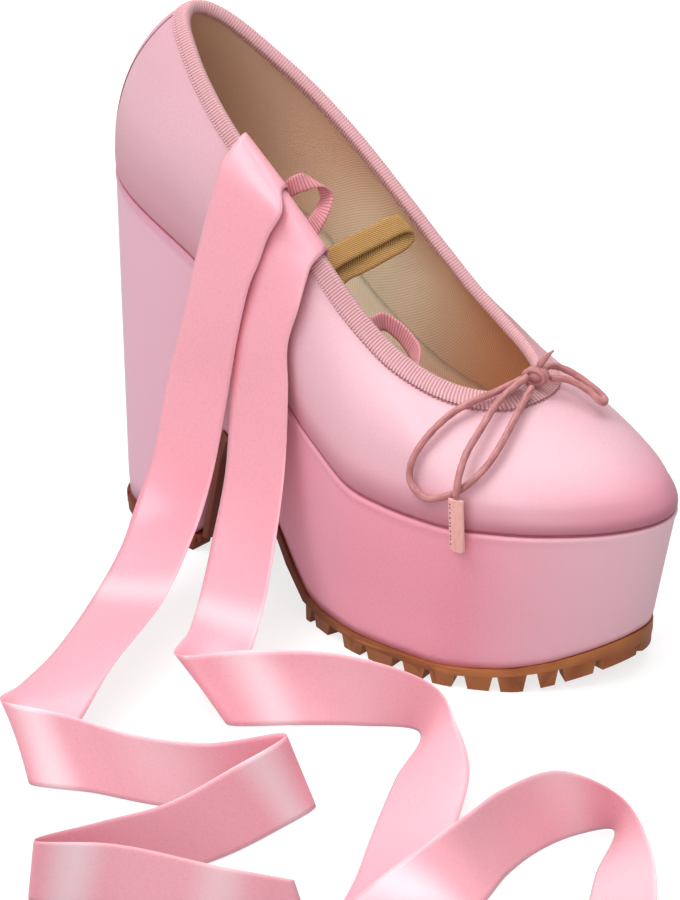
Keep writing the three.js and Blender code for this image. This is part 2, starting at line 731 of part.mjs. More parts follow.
// Top lift: a pad under heel and breast sheet, with lugs round it and one pad in the middle
function topLiftGeometry() {
  const heel = stations.filter(({ x }) => x <= breastFoot + 0.2);
  const front = { ...heel[heel.length - 1], x: breastFoot + waistPad };
  const outline = [...heel, front];
  const slab = gridSolid(
    outline.map(({ x, lateral, medial }) => [
      new THREE.Vector3(x, -lateral, liftHeight - gap),
      new THREE.Vector3(x, -lateral, liftHeight - gap - liftPad),
      new THREE.Vector3(x, medial, liftHeight - gap - liftPad),
      new THREE.Vector3(x, medial, liftHeight - gap),
    ]),
    false,
  );
  const lateralEdge = outline.map(({ x, lateral }) => new THREE.Vector3(x, -lateral, liftHeight)).reverse();
  const medialEdge = outline.map(({ x, medial }) => new THREE.Vector3(x, medial, liftHeight));
  const rim = [...lateralEdge, ...medialEdge.slice(1)].reverse();
  const rimLength = new THREE.CatmullRomCurve3(rim).getLength();
  const count = Math.round(rimLength / 11);
  const pitch = rimLength / count;
  const spans = Array.from({ length: count }, (_, i) => [pitch * i + 1.4, pitch * (i + 1) - 1.4]);
  const lugs = edgeLugs(rim, spans, { rootZ: () => liftHeight - gap - 1, treadZ: () => 0, depth: 9 });
  const bar = crossBar(-76, 14, 10, liftHeight - gap - 1, 0, 0);
  const nose = crossBar(breastFoot - 0.5, 3, 14, liftHeight - gap - 1, 0, 0);
  return fromSolid([...lugs, bar, nose].reduce((all, lug) => all.add(lug), toSolid(slab)));
}

// A flat strip between two edge lines, with a small thickness, that never goes below the floor
function stripGeometry(lefts, rights, thick, steps) {
  const leftCurve = new THREE.CatmullRomCurve3(lefts);
  const rightCurve = new THREE.CatmullRomCurve3(rights);
  const onFloor = (point) => point.setZ(Math.max(point.z, thick));
  const middle = (t) => leftCurve.getPoint(t).add(rightCurve.getPoint(t)).multiplyScalar(0.5);
  const rings = Array.from({ length: steps + 1 }, (_, i) => {
    const t = i / steps;
    const left = onFloor(leftCurve.getPoint(t));
    const right = onFloor(rightCurve.getPoint(t));
    const along = middle(Math.min(1, t + 0.2 / steps)).sub(middle(Math.max(0, t - 0.2 / steps)));
    const face = along.cross(right.clone().sub(left)).normalize().multiplyScalar(thick / 2);
    const back = face.clone().negate();
    const corners = [[left, face], [left, back], [right, back], [right, face]];
    return corners.map(([edge, side]) => edge.clone().add(side));
  });
  return gridSolid(rings, false);
}

// A ribbon comes up inside the collar, over the binding and down its own rows
function ribbonGeometry(cross, rows) {
  const inside = -wall - gap - tape;
  const outside = gap + tape;
  const clear = gap + ribbonThick;
  const over = (turn, lift) => {
    const hump = (offset, rise) => skinPoint(turn, 0, offset).setZ(collarZ(turn) + rise + lift);
    return [
      skinPoint(turn, 7, inside - clear - lift),
      skinPoint(turn, 2.5, inside - clear - 0.5 - lift),
      hump(inside, 1.2),
      hump(outside, 1.4),
    ];
  };
  const toPoint = (place) => new THREE.Vector3(...place);
  const lefts = [...over(cross.left, cross.liftLeft), ...rows.map(({ left }) => toPoint(left))];
  const rights = [...over(cross.right, cross.liftRight), ...rows.map(({ right }) => toPoint(right))];
  return stripGeometry(lefts, rights, ribbonThick, 2 * (lefts.length - 1));
}

// A tape or tab along a path, with the direction of its width given
function bandGeometry(rows, wide, thick, steps) {
  const edge = (side) =>
    rows.map(({ at, across }) => {
      const half = new THREE.Vector3(...across).normalize().multiplyScalar((side * wide) / 2);
      return new THREE.Vector3(...at).add(half);
    });
  return stripGeometry(edge(-1), edge(1), thick, steps);
}

function loopGeometry(rows, wide, thick) {
  return bandGeometry(rows, wide, thick, 3 * (rows.length - 1));
}

// A round lace along a path
function laceGeometry(path, steps) {
  const curve = new THREE.CatmullRomCurve3(path.map((point) => new THREE.Vector3(...point)));
  const ring = Array.from({ length: 8 }, (_, i) => {
    const angle = (i * Math.PI) / 4;
    return new THREE.Vector2(laceRadius * Math.cos(angle), laceRadius * Math.sin(angle));
  });
  const tube = new THREE.ExtrudeGeometry(new THREE.Shape(ring), {
    steps,
    extrudePath: curve,
    bevelEnabled: false,
  });
  tube.deleteAttribute('normal');
  tube.deleteAttribute('uv');
  return mergeVertices(tube, 1e-3);
}

function knotGeometry() {
  const ball = new THREE.SphereGeometry(1, 14, 10);
  ball.scale(...knotRadii).translate(...knotCentre);
  ball.deleteAttribute('normal');
  ball.deleteAttribute('uv');
  return mergeVertices(ball, 1e-3);
}

// A loop's end beside the wall
function innerFoot({ turn, drop, lean, across }, thick) {
  const at = skinPoint(turn, drop, -wall - gap - thick / 2 - lean).toArray();
  return { at, across };
}

addPiece(shoe, 'upper', upperGeometry(), colours.satin, 0.45);
addPiece(shoe, 'binding', bindingGeometry(), colours.tape, 0.7);
addPiece(shoe, 'insole', insoleGeometry(), colours.sock, 0.85);
addPiece(shoe, 'platform_unit', platformGeometry(), colours.wrap, 0.45);
addPiece(shoe, 'outsole', outsoleGeometry(), colours.gum, 0.6);
addPiece(shoe, 'top_lift', topLiftGeometry(), colours.gum, 0.6);

const elasticEnds = elasticFeet.map((foot) => innerFoot(foot, elasticThick));
const frontLoopEnds = frontLoopFeet.map((foot) => innerFoot(foot, loopThick));
const elasticBand = [elasticEnds[0], ...elasticRows, elasticEnds[1]];
const rearBand = [...rearLoopRows, innerFoot(rearLoopFoot, loopThick)];
const frontBand = [frontLoopEnds[0], ...frontLoopRows, frontLoopEnds[1]];
addPiece(shoe, 'elastic_loop', loopGeometry(elasticBand, elasticWide, elasticThick), colours.elastic, 0.8);
addPiece(shoe, 'tape_loop_rear', loopGeometry(rearBand, loopWide, loopThick), colours.tape, 0.7);
addPiece(shoe, 'tape_loop_front', loopGeometry(frontBand, loopWide, loopThick), colours.tape, 0.7);

addPiece(cords, 'ribbon_rear', ribbonGeometry(rearCross, rearRows), colours.ribbon, 0.35);
addPiece(cords, 'ribbon_front', ribbonGeometry(frontCross, frontRows), colours.ribbon, 0.35);
addPiece(cords, 'bow_knot', knotGeometry(), colours.cord, 0.6);
addPiece(cords, 'bow_near_loop', laceGeometry(nearLoopPath, 28), colours.cord, 0.6);
addPiece(cords, 'bow_far_loop', laceGeometry(farLoopPath, 16), colours.cord, 0.6);
addPiece(cords, 'bow_near_end', laceGeometry(nearEndPath, 12), colours.cord, 0.6);
addPiece(cords, 'bow_short_end', laceGeometry(shortEndPath, 3), colours.cord, 0.6);
addPiece(cords, 'bow_tab', bandGeometry(tabRows, tabSize.wide, tabSize.thick, 4), colours.cord, 0.6);

// The origin is under the middle of the shoe, without its ribbons and bow, on the floor
const box = new THREE.Box3().setFromObject(shoe);
const centre = box.getCenter(new THREE.Vector3());
shoe.position.set(-centre.x, -centre.y, -box.min.z);
cords.position.copy(shoe.position);

const part = new THREE.Group();
part.add(shoe, cords);

export default part;
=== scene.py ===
import math

import bpy
import numpy as np
from mathutils import Matrix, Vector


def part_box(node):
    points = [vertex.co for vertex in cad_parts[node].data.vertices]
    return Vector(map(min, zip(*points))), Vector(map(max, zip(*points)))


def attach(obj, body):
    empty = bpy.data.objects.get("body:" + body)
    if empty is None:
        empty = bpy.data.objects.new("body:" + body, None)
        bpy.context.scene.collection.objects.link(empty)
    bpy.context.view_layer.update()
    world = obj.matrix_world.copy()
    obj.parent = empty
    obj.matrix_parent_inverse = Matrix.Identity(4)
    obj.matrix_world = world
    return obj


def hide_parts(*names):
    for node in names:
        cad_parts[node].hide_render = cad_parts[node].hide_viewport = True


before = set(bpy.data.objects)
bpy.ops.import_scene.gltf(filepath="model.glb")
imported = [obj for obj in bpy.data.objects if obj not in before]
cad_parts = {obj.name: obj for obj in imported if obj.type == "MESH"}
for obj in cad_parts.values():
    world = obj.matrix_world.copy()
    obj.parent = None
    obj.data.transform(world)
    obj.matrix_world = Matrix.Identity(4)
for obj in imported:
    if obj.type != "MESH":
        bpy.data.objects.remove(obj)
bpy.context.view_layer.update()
scene = bpy.context.scene
print("frame loaded:", len(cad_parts), "nodes")

mm = 0.001
knotCentre = [59.5, 1.5, 89.6]
knotBox = np.array(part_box("bow_knot"))
shift = knotBox.mean(0) - np.array(knotCentre) * mm  # from the last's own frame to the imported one


def place(points):
    return np.asarray(points, float) * mm + shift


# Camera at the photograph's angle, aimed at a point in the last's frame
view = {
    "azimuth": 39.79,
    "elevation": 25.08,
    "roll": 0.34,
    "distance": 1.3,
    "target": (-7.65, -14.15, 49),
    "lens": 159.3,
}


def addCamera():
    azimuth, elevation, roll = (math.radians(view[key]) for key in ("azimuth", "elevation", "roll"))
    level = math.cos(elevation)
    back = np.array([math.sin(azimuth) * level, -math.cos(azimuth) * level, math.sin(elevation)])
    right = np.array([math.cos(azimuth), math.sin(azimuth), 0])
    top = np.cross(back, right)
    side = right * math.cos(roll) + top * math.sin(roll)
    rise = top * math.cos(roll) - right * math.sin(roll)
    eye = place(view["target"]) + back * view["distance"]
    bpy.ops.object.camera_add()
    camera = bpy.context.object
    camera.matrix_world = Matrix([[side[i], rise[i], back[i], eye[i]] for i in range(3)] + [[0, 0, 0, 1]])
    camera.data.lens = view["lens"]
    camera.data.clip_end = 20
    scene.camera = camera


addCamera()
print("camera placed")

# Sizes of the last in millimetres, with the toe along +X, and the way round its ring from heel to toe
last = {
    "heelBack": -111,
    "toeTip": 112.5,
    "collarBack": -82,
    "throatFront": 55.5,
    "wall": 1.8,
    "gap": 0.3,
    "tape": 0.9,
}
featherWidth = {
    "turn": [0, 10, 20, 30, 45, 60, 75, 90, 105, 120, 135, 150, 165, 180],
    "lateral": [0, 8.4, 15.2, 20.4, 25, 27.4, 32, 39, 45.8, 45.6, 38.4, 26.6, 13.2, 0],
    "medial": [0, 8.4, 15.2, 20.2, 24.6, 25.6, 27, 31.5, 37.8, 39, 32.4, 22.4, 11.6, 0],
}
featherHeight = {
    "x": [-112, -104, -94, -75, -55, -36, -17, 3, 23, 45, 70, 95, 114],
    "z": [126, 123, 119, 112.5, 104, 91, 75.5, 62.5, 55.5, 53.8, 54.6, 55.8, 56.6],
}
collarLine = {
    "turn": [0, 10, 20, 30, 45, 60, 75, 90, 105, 120, 135, 150, 165, 180],
    "half": [0, 4, 7.9, 11.4, 16.8, 21.2, 23.4, 24.1, 24.6, 24, 21.4, 16.6, 9.4, 0],
    "z": [182, 181.2, 178.8, 174.8, 165.6, 154.6, 141.6, 127, 111.6, 99, 91.8, 88, 86.3, 86],
}
wallHandle = {
    "turn": [0, 45, 90, 120, 150, 180],
    "lowOut": [1.2, 3, 2, 1.5, 2.4, 3],
    "lowUp": [24, 22, 22, 16, 11.5, 10.5],
    "highOut": [19, 12, 7, 9, 12, 16],
    "highDown": [7, 14, 20, 10, 7.5, 6.5],
}
platformDraft = {
    "x": [-112, -72, -46, 15, 45, 75, 114],
    "shift": [3.4, 1, 0, 0, -1, -2.8, -8],
    "lateral": [-0.4, -0.4, 0, 1.4, 2.4, 1.4, -0.6],
    "medial": [-0.4, -0.4, 0, 1.4, 2.4, 0.8, -1.2],
}
archLine = {
    "x": [-46, -40, -30, -18, -11, -5, 1, 8, 58, 70, 79, 89, 95, 102, 110],
    "z": [50, 47.4, 40.6, 29.4, 21, 14, 8.6, 6.8, 6.8, 7.2, 8, 10, 12, 14.6, 18.4],
}
heelFoot = {"x": -61, "z": 6}  # foot of the heel's front face


def column(xs, ys):  # a smooth curve through table rows that never overshoots
    xs = np.array(xs, float)
    ys = np.array(ys, float)
    rise = np.diff(ys) / np.diff(xs)
    slopes = np.concatenate([rise[:1], np.zeros(len(xs) - 2), rise[-1:]])
    even = rise[:-1] * rise[1:] > 0
    slopes[1:-1][even] = (2 * rise[:-1] * rise[1:])[even] / (rise[:-1] + rise[1:])[even]

    def at(x):
        x = np.clip(x, xs[0], xs[-1])
        i = np.clip(np.searchsorted(xs, x, side="right") - 1, 0, len(xs) - 2)
        span = xs[i + 1] - xs[i]
        t = (x - xs[i]) / span
        low = (1 + 2 * t) * (1 - t) ** 2 * ys[i] + t * (1 - t) ** 2 * span * slopes[i]
        return low + t * t * (3 - 2 * t) * ys[i + 1] + t * t * (t - 1) * span * slopes[i + 1]

    return at


lateralHalf = column(featherWidth["turn"], featherWidth["lateral"])
medialHalf = column(featherWidth["turn"], featherWidth["medial"])
featherZ = column(featherHeight["x"], featherHeight["z"])
collarHalf = column(collarLine["turn"], collarLine["half"])
collarZ = column(collarLine["turn"], collarLine["z"])
handle = {key: column(wallHandle["turn"], wallHandle[key]) for key in wallHandle if key != "turn"}
draftShift = column(platformDraft["x"], platformDraft["shift"])
lateralDraft = column(platformDraft["x"], platformDraft["lateral"])
medialDraft = column(platformDraft["x"], platformDraft["medial"])
archZ = column(archLine["x"], archLine["z"])


def smoothStep(low, high, x):
    t = np.clip((x - low) / (high - low), 0, 1)
    return t * t * (3 - 2 * t)


def unit(vectors):
    return vectors / np.maximum(np.linalg.norm(vectors, axis=-1, keepdims=True), 1e-9)


def turnOf(angle):
    angle = np.mod(angle, 360)
    return np.where(angle <= 180, angle, 360 - angle)


def alongX(turn, back, front):
    return (back + front) / 2 - (front - back) / 2 * np.cos(np.radians(turn))


def featherPoint(angle):
    turn = turnOf(angle)
    x = alongX(turn, last["heelBack"], last["toeTip"])
    y = np.where(np.mod(angle, 360) <= 180, -lateralHalf(turn), medialHalf(turn))
    return np.stack([x, y, featherZ(x)], -1)


def collarPoint(angle):
    turn = turnOf(angle)
    side = np.where(np.mod(angle, 360) <= 180, -1, 1)
    x = alongX(turn, last["collarBack"], last["throatFront"])
    return np.stack([x, side * collarHalf(turn), collarZ(turn)], -1)


def outward(ring, angle):
    along = ring(angle + 1) - ring(angle - 1)
    along[..., 2] = 0
    along = unit(along)
    return np.stack([along[..., 1], -along[..., 0], np.zeros(len(along))], -1)


def wallCorners(angle):
    turn = turnOf(angle)
    foot = featherPoint(angle)
    ridge = collarPoint(angle)
    low = foot + outward(featherPoint, angle) * handle["lowOut"](turn)[:, None]
    high = ridge + outward(collarPoint, angle) * handle["highOut"](turn)[:, None]
    low[:, 2] += handle["lowUp"](turn)
    high[:, 2] -= handle["highDown"](turn)
    return foot, low, high, ridge


def wallPoint(corners, t):
    a, b, c, d = (corner[:, None] for corner in corners)
    t = t[..., None]
    return a * (1 - t) ** 3 + 3 * b * t * (1 - t) ** 2 + 3 * c * t * t * (1 - t) + d * t ** 3


def wallClimb(corners, t):
    a, b, c, d = (corner[:, None] for corner in corners)
    t = t[..., None]
    return (b - a) * (1 - t) ** 2 + 2 * (c - b) * t * (1 - t) + (d - c) * t * t


def wallLengths(angle):
    steps = np.tile(np.linspace(0, 1, 201), (len(angle), 1))
    points = wallPoint(wallCorners(angle), steps)
    stretch = np.linalg.norm(np.diff(points, axis=1), axis=2)
    return steps[0], np.concatenate([np.zeros((len(angle), 1)), np.cumsum(stretch, 1)], 1)


def skin(angle, drops, offset):  # points below the ridge of the top line, moved off the outer face
    angle = np.asarray(angle, float)
    drops = np.broadcast_to(drops, (len(angle), np.shape(drops)[-1]))
    steps, lengths = wallLengths(angle)
    t = np.stack([np.interp(line[-1] - drop, line, steps) for line, drop in zip(lengths, drops)])
    corners = wallCorners(angle)
    across = wallPoint(wallCorners(angle + 1), t) - wallPoint(wallCorners(angle - 1), t)
    normal = unit(np.cross(across, wallClimb(corners, t)))
    return wallPoint(corners, t) + normal * np.broadcast_to(offset, t.shape)[..., None]


def throughPoints(points, perSpan):  # centripetal curve through route points
    route = np.asarray(points, float)
    route = np.vstack([2 * route[0] - route[1], route, 2 * route[-1] - route[-2]])
    w = np.linspace(0, 1, perSpan, endpoint=False)[:, None]
    spans = []
    for i in range(1, len(route) - 2):
        p0, p1, p2, p3 = route[i - 1:i + 3]
        d0, d1, d2 = (np.linalg.norm(b - a) ** 0.5 for a, b in ((p0, p1), (p1, p2), (p2, p3)))
        leave = ((p1 - p0) / d0 - (p2 - p0) / (d0 + d1) + (p2 - p1) / d1) * d1
        reach = ((p2 - p1) / d1 - (p3 - p1) / (d1 + d2) + (p3 - p2) / d2) * d1
        start = (2 * w ** 3 - 3 * w ** 2 + 1) * p1 + (w ** 3 - 2 * w ** 2 + w) * leave
        spans.append(start + (3 * w ** 2 - 2 * w ** 3) * p2 + (w ** 3 - w ** 2) * reach)
    return np.vstack(spans + [route[-2:-1]])


def arcLength(path):
    return np.concatenate([[0], np.cumsum(np.linalg.norm(np.diff(path, axis=0), axis=1))])


# Mesh helpers

def onlySelect(piece):
    bpy.ops.object.select_all(action="DESELECT")
    piece.select_set(True)
    bpy.context.view_layer.objects.active = piece


def gridPiece(name, points, closedRows=False, closedColumns=False, uvs=None):  # rows x columns, in metres
    points = np.asarray(points, float)
    if closedRows:
        points = np.concatenate([points, points[:1]])
    if closedColumns:
        points = np.concatenate([points, points[:, :1]], 1)
    rows, columns = points.shape[:2]
    bpy.ops.object.select_all(action="DESELECT")
    bpy.ops.mesh.primitive_grid_add(x_subdivisions=columns - 1, y_subdivisions=rows - 1, calc_uvs=True)
    piece = bpy.context.object
    piece.name = name
    mesh = piece.data
    mesh.name = name
    mesh.vertices.foreach_set("co", points.reshape(-1).astype(np.float32))
    if uvs is None:  # millimetres along rows and columns
        over = np.linalg.norm(np.diff(points, axis=1), axis=2).mean(0).cumsum()
        down = np.linalg.norm(np.diff(points, axis=0), axis=2).mean(1).cumsum()
        u, v = np.meshgrid(np.concatenate([[0], over]), np.concatenate([[0], down]))
        uvs = np.stack([u, v], -1) / mm
    corner = np.zeros(len(mesh.loops), np.int32)
    mesh.loops.foreach_get("vertex_index", corner)
    mesh.uv_layers[0].data.foreach_set("uv", uvs.reshape(-1, 2)[corner].reshape(-1).astype(np.float32))
    mesh.update()
    return piece


def paintColumns(piece, columns, slots):  # a material for each column of faces, before doubles go
    index = np.tile(np.asarray(slots, np.int32), len(piece.data.polygons) // columns)
    piece.data.polygons.foreach_set("material_index", index)


def closeSeams(piece, threshold=0.00001):
    onlySelect(piece)
    bpy.ops.object.mode_set(mode="EDIT")
    bpy.ops.mesh.select_all(action="SELECT")
    bpy.ops.mesh.remove_doubles(threshold=threshold)
    bpy.ops.mesh.dissolve_degenerate(threshold=0.000002)
    bpy.ops.mesh.normals_make_consistent(inside=False)
    bpy.ops.object.mode_set(mode="OBJECT")
    bpy.ops.object.shade_smooth()


def joinPieces(name, pieces):
    bpy.ops.object.select_all(action="DESELECT")
    for piece in pieces:
        piece.select_set(True)
    bpy.context.view_layer.objects.active = pieces[0]
    bpy.ops.object.join()
    pieces[0].name = name
    return pieces[0]


def crossFrame(path, hint=(0, 0, 1)):  # two directions square to a path, carried along it without twist
    along = unit(np.gradient(path, axis=0))
    side = np.cross(along[0], hint)
    sides = []
    for step in along:
        side = side - step * np.dot(side, step)
        side = side / np.linalg.norm(side)
        sides.append(side)
    sides = np.array(sides)
    return sides, np.cross(along, sides)


def tubePoints(path, radius, sides=12):  # rings with rounded ends
    radius = np.broadcast_to(radius, len(path)).astype(float)
    right, rise = crossFrame(path)
    turn = np.linspace(0, 2 * np.pi, sides, endpoint=False)
    ring = np.cos(turn)[None, :, None] * right[:, None] + np.sin(turn)[None, :, None] * rise[:, None]
    body = path[:, None] + ring * radius[:, None, None]
    along = unit(np.gradient(path, axis=0))
    caps = []
    for end, sign in ((0, -1), (-1, 1)):
        bulge = np.linspace(0, np.pi / 2, 5)[1:]
        out = [path[end] + along[end] * sign * radius[end] * 0.6 * math.sin(b) for b in bulge]
        caps.append([o + ring[end] * radius[end] * math.cos(b) for o, b in zip(out, bulge)])
    return np.concatenate([np.array(caps[0])[::-1], body, np.array(caps[1])])


def bandSection(thick, columns):  # across, from -1 to 1, and face offsets round a flat band with soft edges
    s = np.linspace(-1, 1, columns)
    face = np.sqrt(np.maximum(1 - s ** 8, 0.02)) * thick / 2
    return np.concatenate([s, s[::-1]]), np.concatenate([face, -face])


def bandPoints(left, right, thick, columns=11):  # a band between two edge lines, closed at its ends
    middle = (left + right) / 2
    half = (right - left) / 2
    face = unit(np.cross(np.gradient(middle, axis=0), half))
    over, off = bandSection(thick, columns)
    points = middle[:, None] + half[:, None] * over[None, :, None] + face[:, None] * off[None, :, None]
    ends = [middle[end] + half[end] * over[:, None] for end in (0, -1)]
    return np.concatenate([ends[0][None], points, ends[1][None]])


def finishPiece(piece, slot, material, *nodes):
    for one in material if isinstance(material, (list, tuple)) else [material]:
        piece.data.materials.append(one)
    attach(piece, "root")
    if nodes:
        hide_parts(*nodes)
    return piece


# Shader helpers

def shade(red, green, blue):  # a screen colour, 0 to 255, as linear light
    def linear(value):
        value = value / 255
        return value / 12.92 if value <= 0.04045 else ((value + 0.055) / 1.055) ** 2.4
    return linear(red), linear(green), linear(blue), 1


def newGroup(name, inputs, outputs):
    group = bpy.data.node_groups.new(name, "ShaderNodeTree")
    for label, kind, value in inputs:
        socket = group.interface.new_socket(label, in_out="INPUT", socket_type=kind)
        if value is not None:
            socket.default_value = value
    for label in outputs:
        group.interface.new_socket(label, in_out="OUTPUT", socket_type="NodeSocketFloat")
    return group, group.nodes.new("NodeGroupInput"), group.nodes.new("NodeGroupOutput")


def addNode(tree, kind, values=None, links=None, **settings):
    node = tree.nodes.new("ShaderNode" + kind)
    for key, value in settings.items():
        setattr(node, key, value)
    for key, value in (values or {}).items():
        node.inputs[key].default_value = value
    for key, socket in (links or {}).items():
        tree.links.new(socket, node.inputs[key])
    return node


def mathNode(tree, operation, first, second=None, third=None):
    node = tree.nodes.new("ShaderNodeMath")
    node.operation = operation
    for socket, value in zip(node.inputs, (first, second, third)):
        if isinstance(value, (int, float)):
            socket.default_value = value
        elif value is not None:
            tree.links.new(value, socket)
    return node.outputs[0]


def times(tree, first, second):
    return mathNode(tree, "MULTIPLY", first, second)


def noiseNode(tree, vector, scale, detail=2.0, roughness=0.5):
    values = {"Scale": scale, "Detail": detail, "Roughness": roughness}
    return addNode(tree, "TexNoise", values, {"Vector": vector}).outputs["Fac"]


def uvVector(tree):
    return addNode(tree, "TexCoord").outputs["UV"]


def objectVector(tree):
    return addNode(tree, "TexCoord").outputs["Object"]


def splitVector(tree, vector):
    return addNode(tree, "SeparateXYZ", links={0: vector}).outputs


def makeSatinWeave():  # fine threads with long floats, and a faint grain of tone
    group, given, put = newGroup(
        "satinWeave",
        [("Cloth", "NodeSocketVector", None), ("Thread", "NodeSocketFloat", 0.32)],
        ["Height", "Streak", "Tone"],
    )
    cloth = given.outputs["Cloth"]
    fine = mathNode(group, "DIVIDE", 1.0, given.outputs["Thread"])
    scaled = addNode(group, "VectorMath", links={0: cloth, "Scale": fine}, operation="SCALE").outputs[0]
    part = splitVector(group, scaled)
    warp = mathNode(group, "SINE", times(group, part[0], math.tau))
    weft = mathNode(group, "SINE", times(group, part[1], math.pi))
    floats = mathNode(group, "MULTIPLY_ADD", times(group, warp, weft), 0.25, 0.5)
    stretch = addNode(group, "Mapping", {"Scale": (0.9, 0.1, 1)}, {"Vector": scaled}).outputs[0]
    speck = noiseNode(group, scaled, 0.5, 2.0, 0.7)
    height = mathNode(group, "MULTIPLY_ADD", floats, 0.5, times(group, speck, 0.6))
    group.links.new(height, put.inputs["Height"])
    group.links.new(noiseNode(group, stretch, 1.0, 3.0, 0.6), put.inputs["Streak"])
    group.links.new(noiseNode(group, cloth, 1.1, 2.0, 0.6), put.inputs["Tone"])
    return group


def makeDiagonalTwill():  # slanting ridges of a cotton lining, broken by its cross threads
    group, given, put = newGroup(
        "diagonalTwill",
        [("Cloth", "NodeSocketVector", None), ("Pitch", "NodeSocketFloat", 1.0)],
        ["Height", "Fleck", "Cloud"],
    )
    cloth = given.outputs["Cloth"]
    fine = mathNode(group, "DIVIDE", math.tau, given.outputs["Pitch"])
    part = splitVector(group, cloth)
    wobble = times(group, noiseNode(group, cloth, 0.7, 2.0), 0.15)
    waves = []
    for lean in (0.9, -1.4):
        slant = mathNode(group, "MULTIPLY_ADD", part[1], lean, part[0])
        slant = times(group, mathNode(group, "ADD", slant, wobble), fine)
        waves.append(mathNode(group, "SINE", slant))
    height = mathNode(group, "MULTIPLY_ADD", waves[0], 0.24, times(group, waves[1], 0.22))
    group.links.new(mathNode(group, "ADD", height, 0.5), put.inputs["Height"])
    group.links.new(noiseNode(group, cloth, 1.6, 3.0, 0.7), put.inputs["Fleck"])
    group.links.new(noiseNode(group, cloth, 0.06, 2.0), put.inputs["Cloud"])
    return group


def makeFineGrain():  # moulded rubber and worn thread
    group, given, put = newGroup(
        "fineGrain",
        [("Place", "NodeSocketVector", None), ("Grain", "NodeSocketFloat", 900.0)],
        ["Height", "Mottle"],
    )
    spot = given.outputs["Place"]
    grain = addNode(group, "TexNoise", {"Detail": 3.0}, {"Vector": spot, "Scale": given.outputs["Grain"]})
    group.links.new(grain.outputs["Fac"], put.inputs["Height"])
    group.links.new(noiseNode(group, spot, 60.0, 4.0, 0.6), put.inputs["Mottle"])
    return group


def makeCrossRibs():  # ribs across a woven tape: grooves at whole pitches along it
    group, given, put = newGroup(
        "crossRibs",
        [("Cloth", "NodeSocketVector", None), ("Pitch", "NodeSocketFloat", 1.0)],
        ["Height", "Groove", "Fleck", "Over"],
    )
    cloth = given.outputs["Cloth"]
    part = splitVector(group, cloth)
    step = mathNode(group, "DIVIDE", part[1], given.outputs["Pitch"])
    wave = mathNode(group, "ABSOLUTE", mathNode(group, "SINE", times(group, step, math.pi)))
    thread = mathNode(group, "SINE", times(group, part[0], 14.0))
    group.links.new(mathNode(group, "MULTIPLY_ADD", thread, 0.1, wave), put.inputs["Height"])
    groove = mathNode(group, "POWER", mathNode(group, "SUBTRACT", 1.0, wave), 1.6)
    group.links.new(groove, put.inputs["Groove"])
    group.links.new(noiseNode(group, cloth, 1.5, 3.0, 0.6), put.inputs["Fleck"])
    group.links.new(part[0], put.inputs["Over"])
    return group


satinWeave = makeSatinWeave()
diagonalTwill = makeDiagonalTwill()
fineGrain = makeFineGrain()
crossRibs = makeCrossRibs()


def newMaterial(name, settings):
    material = bpy.data.materials.new(name)
    material.use_nodes = True
    tree = material.node_tree
    surface = tree.nodes["Principled BSDF"]
    for key, value in settings.items():
        surface.inputs[key].default_value = value
    return material, tree, surface


def useGroup(tree, group, vector, **values):
    node = tree.nodes.new("ShaderNodeGroup")
    node.node_tree = group
    tree.links.new(vector, node.inputs[0])
    for key, value in values.items():
        node.inputs[key].default_value = value
    return node


def mixColour(tree, factor, first, second, blend="MIX"):
    node = tree.nodes.new("ShaderNodeMix")
    node.data_type = "RGBA"
    node.blend_type = blend
    for index, value in ((0, factor), (6, first), (7, second)):
        if isinstance(value, (int, float, tuple)):
            node.inputs[index].default_value = value
        else:
            tree.links.new(value, node.inputs[index])
    return node.outputs[2]


def mapRange(tree, value, fromLow, fromHigh, toLow, toHigh):
    values = {1: fromLow, 2: fromHigh, 3: toLow, 4: toHigh}
    return addNode(tree, "MapRange", values, {0: value}).outputs[0]


def addBump(tree, surface, height, strength, distance):
    bump = addNode(tree, "Bump", {"Strength": strength, "Distance": distance}, {"Height": height})
    tree.links.new(bump.outputs[0], surface.inputs["Normal"])


def scaleColour(tree, colour, value):  # a colour made lighter or darker by a value near 1
    grey = addNode(tree, "CombineColor", links={i: value for i in range(3)}).outputs[0]
    return mixColour(tree, 1.0, colour, grey, "MULTIPLY")


def varyColour(tree, colour, noise, low, high):  # lighter and darker by a noise's usual spread
    return scaleColour(tree, colour, mapRange(tree, noise, 0.3, 0.7, low, high))


def varyRough(tree, surface, noise, low, high):
    tree.links.new(mapRange(tree, noise, 0.3, 0.7, low, high), surface.inputs["Roughness"])


def softSpot(tree, value, centre, reach):  # 1 at the centre, falling softly to 0 at the reach
    away = mathNode(tree, "ABSOLUTE", mathNode(tree, "SUBTRACT", value, centre))
    values = {1: 0.0, 2: reach, 3: 1.0, 4: 0.0}
    return addNode(tree, "MapRange", values, {0: away}, interpolation_type="SMOOTHSTEP").outputs[0]


